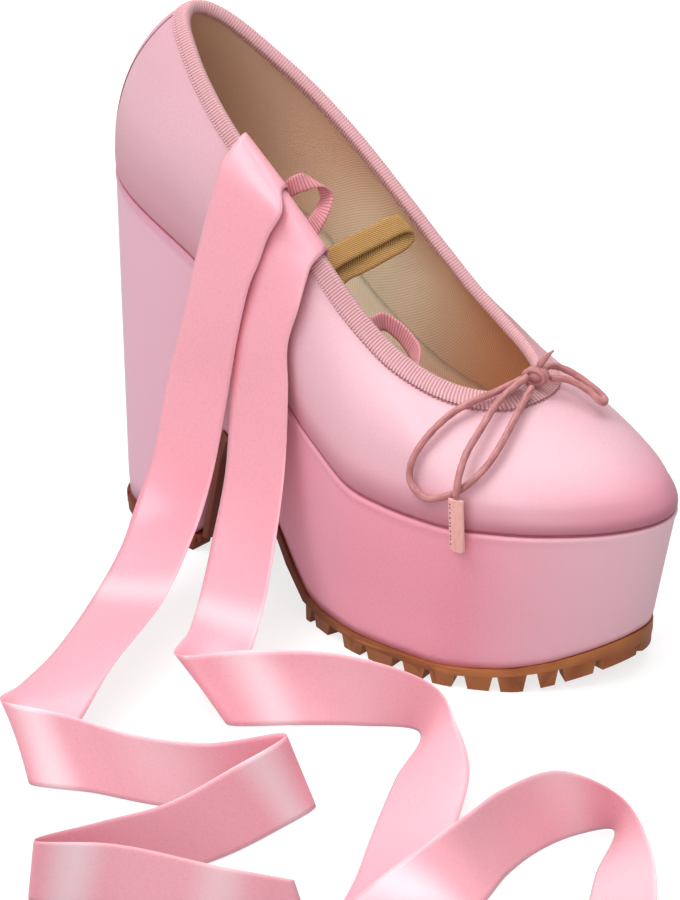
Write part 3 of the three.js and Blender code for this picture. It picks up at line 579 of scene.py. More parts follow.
# Satin: colour, gloss, size of thread, and the height of the painted shade where it is drawn into a seam
satin = {
    "upper": {
        "tone": (231, 181, 192), "rough": 0.5, "gloss": 1.96, "thread": 0.32, "bump": 0.16, "seam": 1.0,
    },
    "platform": {
        "tone": (243, 159, 179), "rough": 0.44, "gloss": 1.75, "thread": 0.34, "bump": 0.12, "seam": 0.9,
    },
    "ribbon": {
        "tone": (248, 171, 185), "rough": 0.3, "gloss": 1.75, "thread": 0.3, "bump": 0.03,
    },
    "sheen": (255, 232, 238),
    "shine": (255, 232, 236),
}
# painted highlight and painted shade for the bands along the ribbons
ribbonHighlightAndShade = {"light": (255, 228, 233), "deep": (240, 142, 160)}
selvedge = {"tone": (255, 215, 222), "at": (0.2, 24.8), "reach": 0.8, "share": 0.25}  # a painted highlight along both edges, where they catch the light
rearPaintedBands = [  # painted highlight and shade where the ribbon curls: millimetres along it, reach, and painted highlight above 0 or painted shade below it
    (137, 26, -0.5), (175, 12, 0.5), (268, 8, -0.4), (277, 10, 0.7), (319, 22, 0.3), (350, 14, -0.3),
    (359, 8, -0.4), (370, 12, 0.65), (456, 8, -0.4), (468, 11, 0.7), (512, 12, 0.5), (530, 12, -0.3),
]
frontPaintedBands = [
    (130, 26, -0.2), (154, 12, 0.5), (192, 12, -0.35), (208, 12, 0.6), (236, 24, 0.15), (258, 10, -0.2),
    (305, 50, 0.16), (385, 12, 0.6), (422, 32, 0.15), (446, 14, 0.35), (458, 10, -0.45), (495, 36, 0.4),
]
# painted shade where the satin is drawn into the seam
seamShade = (150, 66, 84)
heelSheenAndShadow = {  # painted sheen makes the heel's cover paler, with a painted shadow under its seam
    "tone": (234, 180, 199), "along": (0.025, -0.065),
    "under": (196, 112, 138), "underDeep": (0.5, 4.5), "underShare": 0.55,
}
toeSheen = {"tone": (255, 206, 218), "along": (0.066, 0.112)}  # painted sheen makes the platform paler round the toe too
footShade = {  # painted shade: the upper darkens towards its seam, and higher up round the toe
    "tone": (224, 142, 162), "share": 0.6, "rise": (1, 20),
    "toeShare": 0.8, "toeAlong": (0.07, 0.105), "toeRise": (12, 30),
}
hemShade = {  # painted shade, deepest at the hem, where it turns under, and more so at the toe
    "tone": (176, 98, 116), "shares": (0.3, 0.85), "along": (-0.05, 0.03), "rise": (0.5, 11),
}
quarterShade = {  # painted shade: the quarters are darker at their foot and top
    "tone": (198, 140, 154), "along": (-0.03, -0.065),
    "lowShare": 0.5, "lowRise": (14, 30), "topShare": 0.5, "topRise": (38, 62),
}


def platformPaintedLight(tree, colour, along, deep):
    # painted sheen: paler towards the heel and round the toe
    heel = mapRange(tree, along, *heelSheenAndShadow["along"], 0, 1)
    colour = mixColour(tree, heel, colour, shade(*heelSheenAndShadow["tone"]))
    # painted sheen round the toe
    toe = mapRange(tree, along, *toeSheen["along"], 0, 1)
    colour = mixColour(tree, toe, colour, shade(*toeSheen["tone"]))
    # painted shadow under the heel's seam
    under = mapRange(tree, deep, *heelSheenAndShadow["underDeep"], heelSheenAndShadow["underShare"], 0)
    return mixColour(tree, times(tree, heel, under), colour, shade(*heelSheenAndShadow["under"]))


def upperPaintedShade(tree, colour, along, rise):
    # painted shade towards the seam, and higher up round the toe
    toe = mapRange(tree, along, *footShade["toeAlong"], 0, footShade["toeShare"])
    toe = times(tree, toe, mapRange(tree, rise, *footShade["toeRise"], 1, 0))
    foot = mathNode(tree, "POWER", mapRange(tree, rise, *footShade["rise"], 1, 0), 1.4)
    foot = mathNode(tree, "MAXIMUM", toe, times(tree, foot, footShade["share"]))
    colour = mixColour(tree, foot, colour, shade(*footShade["tone"]))
    # painted shade at the quarters' foot and top
    low = mapRange(tree, rise, *quarterShade["lowRise"], quarterShade["lowShare"], 0)
    top = mapRange(tree, rise, *quarterShade["topRise"], 0, quarterShade["topShare"])
    quarter = mapRange(tree, along, *quarterShade["along"], 0, 1)
    quarter = times(tree, quarter, mathNode(tree, "MAXIMUM", low, top))
    colour = mixColour(tree, quarter, colour, shade(*quarterShade["tone"]))
    # painted shade where the hem turns under
    hem = mapRange(tree, along, *hemShade["along"], *hemShade["shares"])
    hem = times(tree, hem, mapRange(tree, rise, *hemShade["rise"], 1, 0))
    return mixColour(tree, hem, colour, shade(*hemShade["tone"]))


def ribbonPaintedLight(tree, colour, over, along, paintedBands):
    # painted highlight or painted shade in bands along the ribbon
    for at, reach, share in paintedBands:
        band = times(tree, softSpot(tree, along, at, reach), abs(share))
        colour = mixColour(tree, band, colour, shade(*ribbonHighlightAndShade["light" if share > 0 else "deep"]))
    # a painted highlight along both edges
    edges = [softSpot(tree, over, at, selvedge["reach"]) for at in selvedge["at"]]
    edge = times(tree, mathNode(tree, "MAXIMUM", *edges), selvedge["share"])
    return mixColour(tree, edge, colour, shade(*selvedge["tone"]))


def makeSatin(name, kind, paintedBands=()):
    look = satin[kind]
    material, tree, surface = newMaterial(name, {
        "Sheen Weight": 0.12,
        "Sheen Roughness": 0.45,
        "Sheen Tint": shade(*satin["sheen"]),
        "Specular Tint": shade(*satin["shine"]),
        "IOR": look["gloss"],
    })
    cloth = uvVector(tree)
    weave = useGroup(tree, satinWeave, cloth, Thread=look["thread"])
    light, deep = (tuple(min(255, part * k) for part in look["tone"]) for k in (1.015, 0.975))
    grain = mapRange(tree, weave.outputs["Tone"], 0.3, 0.7, 0, 1)
    colour = mixColour(tree, grain, shade(*deep), shade(*light))
    colour = varyColour(tree, colour, weave.outputs["Streak"], 0.985, 1.012)
    over, high = splitVector(tree, cloth)[:2]
    # ribbons get painted highlight and shade bands along their curls
    if kind == "ribbon":
        colour = ribbonPaintedLight(tree, colour, over, high, paintedBands)
    else:
        # painted light and shade for the upper and the platform
        paintedLightTones = upperPaintedShade if kind == "upper" else platformPaintedLight
        colour = paintedLightTones(tree, colour, splitVector(tree, objectVector(tree))[0], high)
        # painted shade where the satin is drawn into the seam
        drawn = mathNode(tree, "POWER", mapRange(tree, high, 0.1, look["seam"], 1, 0), 1.5)
        colour = mixColour(tree, drawn, colour, shade(*seamShade))
    tree.links.new(colour, surface.inputs["Base Color"])
    varyRough(tree, surface, weave.outputs["Streak"], look["rough"] - 0.04, look["rough"] + 0.05)
    addBump(tree, surface, weave.outputs["Height"], look["bump"], 0.0002)
    return material


twill = {  # threads at the toe, at the heel, which is paler as painted light, and in a painted pool of light low at the waist
    "toe": {"light": (228, 168, 126), "deep": (176, 118, 84)},
    "heel": {"light": (255, 226, 200), "deep": (206, 170, 144)},
    "litPool": {"light": (255, 248, 226), "deep": (226, 208, 176)},
    "heelAlong": (0.005, -0.085),
    "litPoolAt": (-0.03, 0.052),  # middle and reach
    "litPoolRise": (0.095, 0.135),
    "pitch": 0.85,
}


def makeTwill(name):
    material, tree, surface = newMaterial(name, {"Specular IOR Level": 0.25, "Sheen Weight": 0.1})
    weave = useGroup(tree, diagonalTwill, uvVector(tree), Pitch=twill["pitch"])
    ridge = mapRange(tree, weave.outputs["Height"], 0.1, 0.9, 0, 1)
    along, _, high = splitVector(tree, objectVector(tree))
    toe, heel, litPool = (
        mixColour(tree, ridge, shade(*twill[zone]["deep"]), shade(*twill[zone]["light"]))
        for zone in ("toe", "heel", "litPool")
    )
    # painted light: the lining pales towards the heel
    colour = mixColour(tree, mapRange(tree, along, *twill["heelAlong"], 0, 1), toe, heel)
    # a painted pool of light low on the lining at the waist
    litPoolMask = mapRange(tree, high, *twill["litPoolRise"], 1, 0)
    litPoolMask = times(tree, softSpot(tree, along, *twill["litPoolAt"]), litPoolMask)
    colour = mixColour(tree, litPoolMask, colour, litPool)
    colour = varyColour(tree, colour, weave.outputs["Fleck"], 0.94, 1.04)
    tree.links.new(colour, surface.inputs["Base Color"])
    varyRough(tree, surface, weave.outputs["Cloud"], 0.8, 0.92)
    addBump(tree, surface, weave.outputs["Height"], 0.25, 0.0003)
    return material


gum = {  # darker and redder towards the heel, and paler at its sharp edges, most at the toe
    "light": (168, 96, 50),
    "deep": (142, 74, 36),
    "along": (-0.01, 0.095),
    "depth": (0.42, 1.1),
    "heel": (124, 40, 16),
    "heelAlong": (0, -0.05),
    "heelShare": 0.85,
    "paleEdge": (196, 124, 70),
    "paleEdgeAlong": (-0.03, 0.06),
    "paleEdgeShare": 0.7,
}


def makeRubber(name):
    material, tree, surface = newMaterial(name, {"Specular IOR Level": 0.4, "Coat Weight": 0.05})
    grain = useGroup(tree, fineGrain, objectVector(tree), Grain=1400.0)
    mottle = mapRange(tree, grain.outputs["Mottle"], 0.35, 0.65, 0, 1)
    colour = mixColour(tree, mottle, shade(*gum["deep"]), shade(*gum["light"]))
    along = splitVector(tree, objectVector(tree))[0]
    colour = scaleColour(tree, colour, mapRange(tree, along, *gum["along"], *gum["depth"]))
    heel = mapRange(tree, along, *gum["heelAlong"], 0, gum["heelShare"])
    colour = mixColour(tree, heel, colour, shade(*gum["heel"]))
    # paler at sharp edges, more so towards the toe
    sharp = addNode(tree, "NewGeometry").outputs["Pointiness"]
    edge = mapRange(tree, sharp, 0.52, 0.64, 0, gum["paleEdgeShare"])
    edge = times(tree, edge, mapRange(tree, along, *gum["paleEdgeAlong"], 0.15, 1))
    colour = mixColour(tree, edge, colour, shade(*gum["paleEdge"]))
    tree.links.new(colour, surface.inputs["Base Color"])
    varyRough(tree, surface, grain.outputs["Mottle"], 0.42, 0.58)
    addBump(tree, surface, grain.outputs["Height"], 0.12, 0.0003)
    return material


def makeRibTape(name, light, deep, pitch, strength, stitch=None):
    material, tree, surface = newMaterial(name, {"Specular IOR Level": 0.35, "Sheen Weight": 0.15})
    ribs = useGroup(tree, crossRibs, uvVector(tree), Pitch=pitch)
    colour = mixColour(tree, ribs.outputs["Groove"], shade(*light), shade(*deep))
    colour = varyColour(tree, colour, ribs.outputs["Fleck"], 0.95, 1.04)
    if stitch:  # painted shade in the needle holes between the ribs, along a row
        row = softSpot(tree, ribs.outputs["Over"], stitch["rise"], stitch["reach"])
        holes = times(tree, row, mapRange(tree, ribs.outputs["Groove"], 0.25, 0.7, 0, 1))
        colour = mixColour(tree, holes, colour, shade(*stitch["tone"]))
    tree.links.new(colour, surface.inputs["Base Color"])
    varyRough(tree, surface, ribs.outputs["Fleck"], 0.55, 0.72)
    addBump(tree, surface, ribs.outputs["Height"], strength, 0.0003)
    return material


def makeLace(name, light, deep):  # soft cord with creases along it
    material, tree, surface = newMaterial(name, {"Specular IOR Level": 0.4, "Sheen Weight": 0.15})
    drawn = addNode(tree, "Mapping", {"Scale": (1.1, 0.22, 1)}, {"Vector": uvVector(tree)}).outputs[0]
    crease = noiseNode(tree, drawn, 1.0, 3.0, 0.55)
    colour = mixColour(tree, mapRange(tree, crease, 0.3, 0.7, 0, 1), shade(*deep), shade(*light))
    grain = useGroup(tree, fineGrain, objectVector(tree), Grain=2600.0)
    colour = varyColour(tree, colour, grain.outputs["Height"], 0.95, 1.04)
    tree.links.new(colour, surface.inputs["Base Color"])
    varyRough(tree, surface, grain.outputs["Mottle"], 0.5, 0.62)
    addBump(tree, surface, crease, 0.3, 0.0005)
    return material


def makeHerringbone(name, light, deep, wide, pitch):
    material, tree, surface = newMaterial(name, {"Specular IOR Level": 0.3})
    over, along, _ = splitVector(tree, uvVector(tree))
    half = mathNode(tree, "ABSOLUTE", mathNode(tree, "SUBTRACT", over, wide / 2))
    slant = mathNode(tree, "MULTIPLY_ADD", half, 0.8, along)
    ridge = mathNode(tree, "SINE", times(tree, slant, math.tau / pitch))
    height = mathNode(tree, "MULTIPLY_ADD", ridge, 0.5, 0.5)
    tree.links.new(mixColour(tree, height, shade(*deep), shade(*light)), surface.inputs["Base Color"])
    tree.links.new(mapRange(tree, height, 0, 1, 0.85, 0.7), surface.inputs["Roughness"])
    addBump(tree, surface, height, 0.5, 0.0003)
    return material


tapePitch = 1.04  # from rib to rib of the woven tape
# its tone is painted shade in the needle holes below the ribs
bindingStitch = {"rise": 0.8, "reach": 0.7, "tone": (146, 78, 88)}
elasticWide = 7.4
upperSatin = makeSatin("upperSatin", "upper")
platformSatin = makeSatin("platformSatin", "platform")
rearSatin = makeSatin("rearSatin", "ribbon", rearPaintedBands)
frontSatin = makeSatin("frontSatin", "ribbon", frontPaintedBands)
liningTwill = makeTwill("liningTwill")
gumRubber = makeRubber("gumRubber")
bindingTape = makeRibTape("bindingTape", (220, 172, 176), (188, 120, 128), tapePitch, 0.1, bindingStitch)
bindingThread = makeLace("bindingThread", (206, 142, 150), (184, 116, 126))
loopTape = makeRibTape("loopTape", (224, 152, 158), (176, 92, 102), tapePitch, 0.5)
bowLace = makeLace("bowLace", (208, 144, 142), (168, 102, 104))
tabLeather = makeLace("tabLeather", (248, 192, 182), (236, 172, 164))
# painted shade: the seam's fold is coloured dark for the shade in the groove
seamFoldShade = makeLace("seamFoldShade", (190, 96, 116), (160, 72, 94))
# painted shade along the back strip's edges
stripEdgeShade = makeLace("stripEdgeShade", (228, 168, 182), (210, 146, 162))
holeThread = makeLace("holeThread", (150, 88, 86), (120, 66, 66))
elasticWeb = makeHerringbone("elasticWeb", (206, 162, 102), (146, 102, 54), elasticWide, 0.95)
print("materials made")

# Ribbons: the turns of the top line that each crosses, then both edges down to the floor and along it
rearRibbon = {
    "cross": {"left": (65, 0.4), "right": (81.5, 2)},  # turn and lift
    "left": [
        [-44, -30, 145], [-45, -33, 137], [-47, -35.5, 125], [-50, -37.5, 110], [-53.4, -40, 91],
        [-58, -43, 68], [-58, -50, 44], [-55.6, -61, 31], [-50.6, -73, 23], [-39.6, -98, 18],
        [-24, -133, 17], [-13, -160, 20], [-7, -174, 23], [11, -167, 22], [33, -162, 21], [57, -152, 22],
        [72, -134, 23], [71, -158, 21], [69, -184, 20], [64, -206, 22], [58, -227, 23], [78, -215, 24],
        [108, -205, 24], [129, -197, 24],
    ],
    "right": [
        [-19, -30, 134], [-22, -33, 126], [-24, -35.5, 117], [-26, -37.5, 110], [-28.8, -40, 93],
        [-32, -42, 70], [-33, -47, 48], [-31.4, -54, 36.5], [-26.6, -65.4, 30], [-14.8, -92.6, 22],
        [1, -134, 20], [10, -161, 12], [7, -177, 0.6], [25, -169, 0.6], [47, -161, 0.6], [66, -148, 0.6],
        [81, -131, 0.6], [82, -150, 0.6], [79, -176, 0.6], [67, -204, 0.6], [53, -225, 0.6],
        [73, -216, 0.6], [104, -206, 0.6], [133, -192, 0.6],
    ],
    "ripples": [(60, 30, 0.8), (150, 40, -1.2), (250, 30, 1.0)],  # soft bows: along, reach, height
}
frontRibbon = {
    "cross": {"left": (79, 0), "right": (96, 0)},
    "left": [
        [-26, -30.4, 126], [-28, -33, 119], [-31, -35.2, 106], [-34, -37.6, 92], [-32.6, -39.8, 70],
        [-29.6, -46, 45], [-24, -58.6, 28.5], [-11.6, -78.6, 20], [0, -97, 18], [10, -114, 20],
        [27, -98, 21], [55, -85, 23.5],
        [86, -80, 21], [99, -86, 15], [114, -99, 11], [128, -124, 5], [150, -162, 1], [152, -161, 4.6],
        [154, -146, 0.6], [149, -125, 0.6], [148, -108, 0.6], [151, -94, 0.6], [157, -85, 0.6],
        [168, -108, 0.6], [179, -128, 0.6], [186, -143, 0.6],
    ],
    "right": [
        [-7, -29.4, 119], [-7, -32.4, 114], [-7, -36, 106], [-9, -38.8, 94], [-7, -41, 80], [-4, -46, 55],
        [1.6, -57, 35], [13.6, -76.6, 23], [24, -97, 14], [28, -111, 0.6], [43, -99, 0.6], [60, -85, 0.6],
        [76, -76, 0.6], [89, -103, 0.6], [105, -134, 0.6], [116, -154, 0.6], [126, -174, 0.6],
        [128, -173, 4.2],
        [133, -148, 13], [140, -134, 21], [140, -116, 22], [147, -99, 23], [166, -95, 20],
        [186, -107, 16], [200, -123, 12], [208, -136, 9],
    ],
    "ripples": [(50, 30, 0.8), (130, 40, -1.0), (215, 25, 0.8)],
}
ribbonCloth = {"width": 25, "thick": 0.3, "solidThick": 0.5, "columns": 15, "perSpan": 10, "selvedge": 0.1}


def overBinding(turn, lift):  # up inside the collar, over the binding and down outside
    inside = -last["wall"] - last["gap"] - last["tape"]
    outside = last["gap"] + last["tape"]
    clear = last["gap"] + ribbonCloth["solidThick"]
    ridge = float(collarZ(turn)) + lift

    def at(drop, offset, rise=None):
        point = skin([turn], [drop], offset)[0, 0]
        if rise is not None:
            point[2] = ridge + rise
        return point

    return [
        at(7, inside - clear - lift),
        at(2.5, inside - clear - 0.5 - lift),
        at(0, inside, 1.2),
        at(0, outside, 1.4),
    ]


def makeRibbon(name, route, node, material):
    edges = {}
    for side in ("left", "right"):
        points = throughPoints(overBinding(*route["cross"][side]) + route[side], ribbonCloth["perSpan"])
        points[:, 2] = np.maximum(points[:, 2], ribbonCloth["solidThick"])
        edges[side] = points
    middle = (edges["left"] + edges["right"]) / 2
    across = edges["right"] - edges["left"]
    along = np.gradient(middle, axis=0)
    face = unit(np.cross(along, across))
    s = np.linspace(-1, 1, ribbonCloth["columns"])
    crown = np.zeros(len(middle))
    distance = arcLength(middle)
    for at, reach, height in route["ripples"]:
        crown += height * np.exp(-((distance - at) / reach) ** 2)
    crown = crown[:, None] * (1 - s ** 2)[None]
    sheet = middle[:, None] + across[:, None] * s[None, :, None] / 2 + face[:, None] * crown[..., None]
    half = ribbonCloth["thick"] / 2 * (1 + ribbonCloth["selvedge"] * smoothStep(0.9, 0.97, np.abs(s)))
    half[[0, -1]] = ribbonCloth["thick"] * 0.2
    upper = sheet + face[:, None] * half[None, :, None]
    lower = sheet - face[:, None] * half[None, :, None]
    body = np.concatenate([upper, lower[:, ::-1]], 1)
    ends = np.concatenate([sheet, sheet[:, ::-1]], 1)
    points = np.concatenate([ends[:1], body, ends[-1:]])
    points[..., 2] = np.maximum(points[..., 2], 0.1)
    over = (s + 1) / 2 * ribbonCloth["width"]
    u = np.concatenate([over, over[::-1], over[:1]])
    v = np.concatenate([distance[:1], distance, distance[-1:]])
    uvs = np.stack(np.meshgrid(u, v), -1)
    piece = gridPiece(name, place(points), closedColumns=True, uvs=uvs)
    closeSeams(piece)
    finishPiece(piece, "ribbon", material, node)


makeRibbon("rear_ribbon", rearRibbon, "ribbon_rear", rearSatin)
makeRibbon("front_ribbon", frontRibbon, "ribbon_front", frontSatin)

# Bow: the lace's routes over the vamp, from the knot at the throat
bow = {
    "radius": 1.15,
    "nearLoop": [
        [57.5, -3.6, 89.6], [56, -13, 88.6], [51, -28.5, 85.4], [48.7, -39, 80], [47.2, -44.6, 73.5],
        [47.6, -46.6, 67.9], [50.9, -47.3, 64.3], [55.3, -47, 63.2], [63.1, -44.4, 66.4],
        [66.6, -41.3, 69.7], [69, -35.8, 74.2], [68.8, -28.2, 79], [66.4, -19, 83], [63, -9, 85.8],
        [61.8, -3.8, 88],
    ],
    "nearEnd": [
        [59.6, -3.7, 91], [59, -16.6, 87.2], [61.7, -29.6, 82.4], [62.8, -37.4, 78], [64.6, -43.4, 73],
        [65.9, -46.5, 67.2],
    ],
    "farLoop": [
        [58.6, 5.5, 90.4], [59, 11, 89.8], [62.5, 15.6, 87.2], [69.5, 17, 84], [75.2, 17, 81.2],
        [77, 13.6, 81.4], [71.6, 12.6, 84.6], [66, 9.8, 87.4], [63, 5.2, 88.6],
    ],
    "shortEnd": [[60, 2.6, 93.2], [61, 3.6, 95.2], [63, 5.4, 98]],
    "tab": [[66, -46.6, 66], [66.6, -46.8, 57], [67, -46.6, 48.2]],
    "tabAcross": [0.96, 0.25, 0],
    "tabWide": 5.2,
    "tabThick": 1.2,
    "tabCorner": 1.3,
    "tabHoles": {"count": 10, "aside": 1.9, "radius": 0.27},
    "knotRadii": [4, 3.6, 2.8],
    "knotCore": 0.74,  # share of the knot's size
    "knotWraps": [(1.2, -1.1, 0.8), (1.5, 0.9, 0.82), (0.75, 0, 0.92)],  # tilt, aside, share of its size
    "wrapRadius": 0.95,
    "cutPoint": 4,  # length over which the short end is drawn to a point
}


def makeLaceTube(name, route, node, point=0):
    path = throughPoints(bow[route], 8)
    distance = arcLength(path)
    pinch = 1 + 0.06 * np.sin(distance * 1.9) * np.sin(distance * 0.7 + 1)
    if point:  # a cut end drawn to a point over this length
        pinch = pinch * np.clip((distance[-1] - distance) / point, 0.15, 1) ** 0.6
    piece = gridPiece(name, place(tubePoints(path, bow["radius"] * pinch)), closedColumns=True)
    closeSeams(piece)
    finishPiece(piece, "lace", bowLace, node)
    return piece, place(path)


def makeTab():  # a flat tag with rounded lower corners
    path = throughPoints(bow["tab"], 16)
    left = arcLength(path)[-1] - arcLength(path)
    corner = bow["tabCorner"]
    drawn = corner - np.sqrt(np.maximum(corner ** 2 - np.maximum(corner - left, 0) ** 2, 0))
    reach = unit(np.array(bow["tabAcross"], float)) * (bow["tabWide"] / 2 - drawn)[:, None]
    piece = gridPiece("bow_tab_end", place(bandPoints(path - reach, path + reach, bow["tabThick"], 13)),
                      closedColumns=True)
    closeSeams(piece)
    finishPiece(piece, "lace", tabLeather, "bow_tab")
    holes = bow["tabHoles"]
    face = unit(np.cross(np.gradient(path, axis=0), reach))[0]
    side = unit(reach)[0]
    dots = []
    for share in np.linspace(0.1, 0.86, holes["count"]):
        centre = path[int(share * (len(path) - 1))] - side * holes["aside"]
        for sign in (1, -1):
            bpy.ops.object.select_all(action="DESELECT")
            bpy.ops.mesh.primitive_uv_sphere_add(segments=8, ring_count=6, radius=holes["radius"] * mm)
            dot = bpy.context.object
            dot.location = place(centre + face * sign * bow["tabThick"] * 0.45)
            bpy.ops.object.transform_apply(location=True, rotation=False, scale=False)
            dots.append(dot)
    stitches = joinPieces("tab_stitches", dots)
    bpy.ops.object.transform_apply(location=True, rotation=True, scale=True)
    bpy.ops.object.shade_smooth()
    finishPiece(stitches, "lace", holeThread)
    return piece


def makeKnot():
    bpy.ops.object.select_all(action="DESELECT")
    bpy.ops.mesh.primitive_uv_sphere_add(segments=32, ring_count=20, radius=1)
    core = bpy.context.object
    radii = np.array(bow["knotRadii"])
    points = np.array([vertex.co for vertex in core.data.vertices]) * radii * bow["knotCore"]
    core.data.vertices.foreach_set("co", place(points + knotCentre).reshape(-1).astype(np.float32))
    wraps = []
    turn = np.linspace(0, 2 * np.pi, 49)
    for tilt, aside, size in bow["knotWraps"]:
        ring = np.stack([np.cos(turn) * math.sin(tilt), np.cos(turn) * math.cos(tilt), np.sin(turn)], -1)
        path = unit(ring) * radii * size + knotCentre
        path[:, 1] += aside
        wraps.append(gridPiece("wrap", place(tubePoints(path, bow["wrapRadius"])), closedColumns=True))
    knot = joinPieces("bow_knot_wraps", [core] + wraps)
    closeSeams(knot)
    return finishPiece(knot, "lace", bowLace, "bow_knot")


def makeBow():
    knot = makeKnot()
    tab = makeTab()
    stub, _ = makeLaceTube("bow_stub", "shortEnd", "bow_short_end", bow["cutPoint"])
    for name, route, node, end, carried in (
        ("bow_loop_near", "nearLoop", "bow_near_loop", "object", [knot]),
        ("bow_loop_far", "farLoop", "bow_far_loop", "object", [stub]),
        ("bow_end_near", "nearEnd", "bow_near_end", "fitting", [tab]),
    ):
        piece, path = makeLaceTube(name, route, node)


makeBow()
print("ribbons and bow laid")

# Upper: satin outside, rolled in at its foot, twill lining inside
upperShell = {
    "steps": 320,
    "outerRows": 46,
    "innerRows": 18,
    "hemRadius": 1.1,
    "topDrop": 1.2,
    "crowd": 1.4,  # draws the rows together towards the seam
    "troughs": [  # angle, rise above the seam, half angle, half height, depth
        (150, 7, 26, 3.2, 0.5),
        (205, 7, 26, 3.2, 0.4),
        (112, 16, 14, 5, 0.3),
        (60, 12, 18, 6, 0.25),
    ],
}


def makeUpper():
    angle = np.linspace(0, 360, upperShell["steps"], endpoint=False)
    _, lengths = wallLengths(angle)
    full = lengths[:, -1:]
    part = np.linspace(1, 0, upperShell["outerRows"])[None]
    rise = (full - upperShell["topDrop"]) * part ** upperShell["crowd"]
    hem = upperShell["hemRadius"]
    offset = np.sqrt(np.maximum(hem ** 2 - np.maximum(hem - rise, 0) ** 2, 0)) - hem
    for at, high, halfAngle, halfHigh, depth in upperShell["troughs"]:
        away = (np.mod(angle[:, None] - at + 180, 360) - 180) / halfAngle
        offset = offset - depth * np.exp(-away ** 2 - ((rise - high) / halfHigh) ** 2)
    outer = skin(angle, full - rise, offset)
    part = np.linspace(1, 0, upperShell["innerRows"])[None]
    inner = skin(angle, upperShell["topDrop"] + (full - upperShell["topDrop"]) * part, -last["wall"])
    points = np.concatenate([outer, inner], 1)
    around = arcLength(featherPoint(np.append(angle, 360)))
    deep = full + 5 + (full - upperShell["topDrop"]) * (1 - part)
    over = np.concatenate([rise, deep, deep[:, -1:] + 2], 1)
    over = np.concatenate([over, over[:1]])
    uvs = np.stack([np.broadcast_to(around[:, None], over.shape), over], -1)
    piece = gridPiece("upper_shell", place(points), closedRows=True, closedColumns=True, uvs=uvs)
    paintColumns(piece, points.shape[1],
                 [0] * (upperShell["outerRows"] - 1) + [1] * (upperShell["innerRows"] + 1))
    closeSeams(piece)
    finishPiece(piece, "satin", [upperSatin, liningTwill], "upper")


makeUpper()
print("upper made")

# Seam: the fold where the satin is drawn in between upper and platform, coloured dark as painted shade in
# the groove
seam = {"radius": 0.45, "inset": 0.8, "steps": 320}


def makeSeam():
    angle = np.linspace(0, 360, seam["steps"], endpoint=False)
    middle = featherPoint(angle) - outward(featherPoint, angle) * seam["inset"]
    middle[:, 2] -= last["gap"] / 2
    turn = np.linspace(0, 2 * np.pi, 8, endpoint=False)
    out = outward(featherPoint, angle)[:, None] * np.cos(turn)[None, :, None]
    out[..., 2] += np.sin(turn)
    points = middle[:, None] + out * seam["radius"]
    piece = gridPiece("seam_fold", place(points), closedRows=True, closedColumns=True)
    closeSeams(piece)
    finishPiece(piece, "satin", seamFoldShade)


makeSeam()

# Back strip: a narrow stay over the heel's back seam, wider towards its foot
backStrip = {
    "drop": [5.7, 10, 15, 22, 40, 60],
    "half": [4.2, 6.4, 8.4, 10, 11, 11],
    "thick": 0.45,
    "rows": 40,
    "columns": 25,
    "foot": 1.6,
    "border": 0.4,
    "clear": 0.06,
    "clothAt": 40,  # where its weave starts, so that it doesn't run on from the upper's
}


def makeBackStrip():
    fine = np.linspace(-60, 60, 241)
    length = float(wallLengths(np.array([0.0]))[1][0, -1])
    drops = np.linspace(backStrip["drop"][0], length - backStrip["foot"], backStrip["rows"])
    halves = column(backStrip["drop"], backStrip["half"])(drops)
    border = backStrip["border"]
    rows = []
    for drop, half in zip(drops, halves):
        over = skin(fine, [drop], 0)[:, 0, 1]
        inner = np.linspace(-half + border, half - border, backStrip["columns"] - 2)
        reach = np.concatenate([[-half], inner, [half]])
        rows.append(np.interp(-reach, -over, fine))
    angles = np.array(rows)
    over, off = bandSection(backStrip["thick"], backStrip["columns"])
    angles = np.concatenate([angles, angles[:, ::-1]], 1)
    offsets = off + backStrip["thick"] / 2 + backStrip["clear"]
    points = np.array([skin(line, [drop], offsets[:, None])[:, 0] for line, drop in zip(angles, drops)])
    ends = [(points[end] + points[end, ::-1]) / 2 for end in (0, -1)]
    points = np.concatenate([ends[0][None], points, ends[1][None]])
    high = length - np.concatenate([drops[:1], drops, drops[-1:]])
    u = np.append(over, over[:1]) * backStrip["half"][-1] + backStrip["clothAt"]
    uvs = np.stack(np.meshgrid(u, high), -1)
    piece = gridPiece("back_strip", place(points), closedColumns=True, uvs=uvs)
    # painted shade: the border faces take a darker satin for the shade along the strip's edge
    edges = [0] * points.shape[1]
    columns = backStrip["columns"]
    for k in (0, columns - 2, columns - 1, columns, -2, -1):  # the faces along both borders
        edges[k] = 1
    paintColumns(piece, points.shape[1], edges)
    closeSeams(piece)
    finishPiece(piece, "satin", [upperSatin, stripEdgeShade])


makeBackStrip()
print("back strip laid")

# Binding: a ribbed tape folded over the top line, its lap wider towards the throat
binding = {
    "ribs": 384,
    "perRib": 5,
    "lapTurn": [0, 60, 75, 90, 110, 180],
    "lap": [4.2, 4.8, 6, 7.4, 8, 7.6],
    "lapIn": 4.2,
    "ribHeight": 0.28,
    "scallop": 0.7,
    "stitchDepth": 0.25,
}
lapAt = column(binding["lapTurn"], binding["lap"])


def evenAngles(count):  # angles at even distances along the top line
    fine = np.linspace(0, 360, 2881)
    distance = arcLength(collarPoint(fine))
    return np.interp(np.linspace(0, distance[-1], count, endpoint=False), distance, fine)


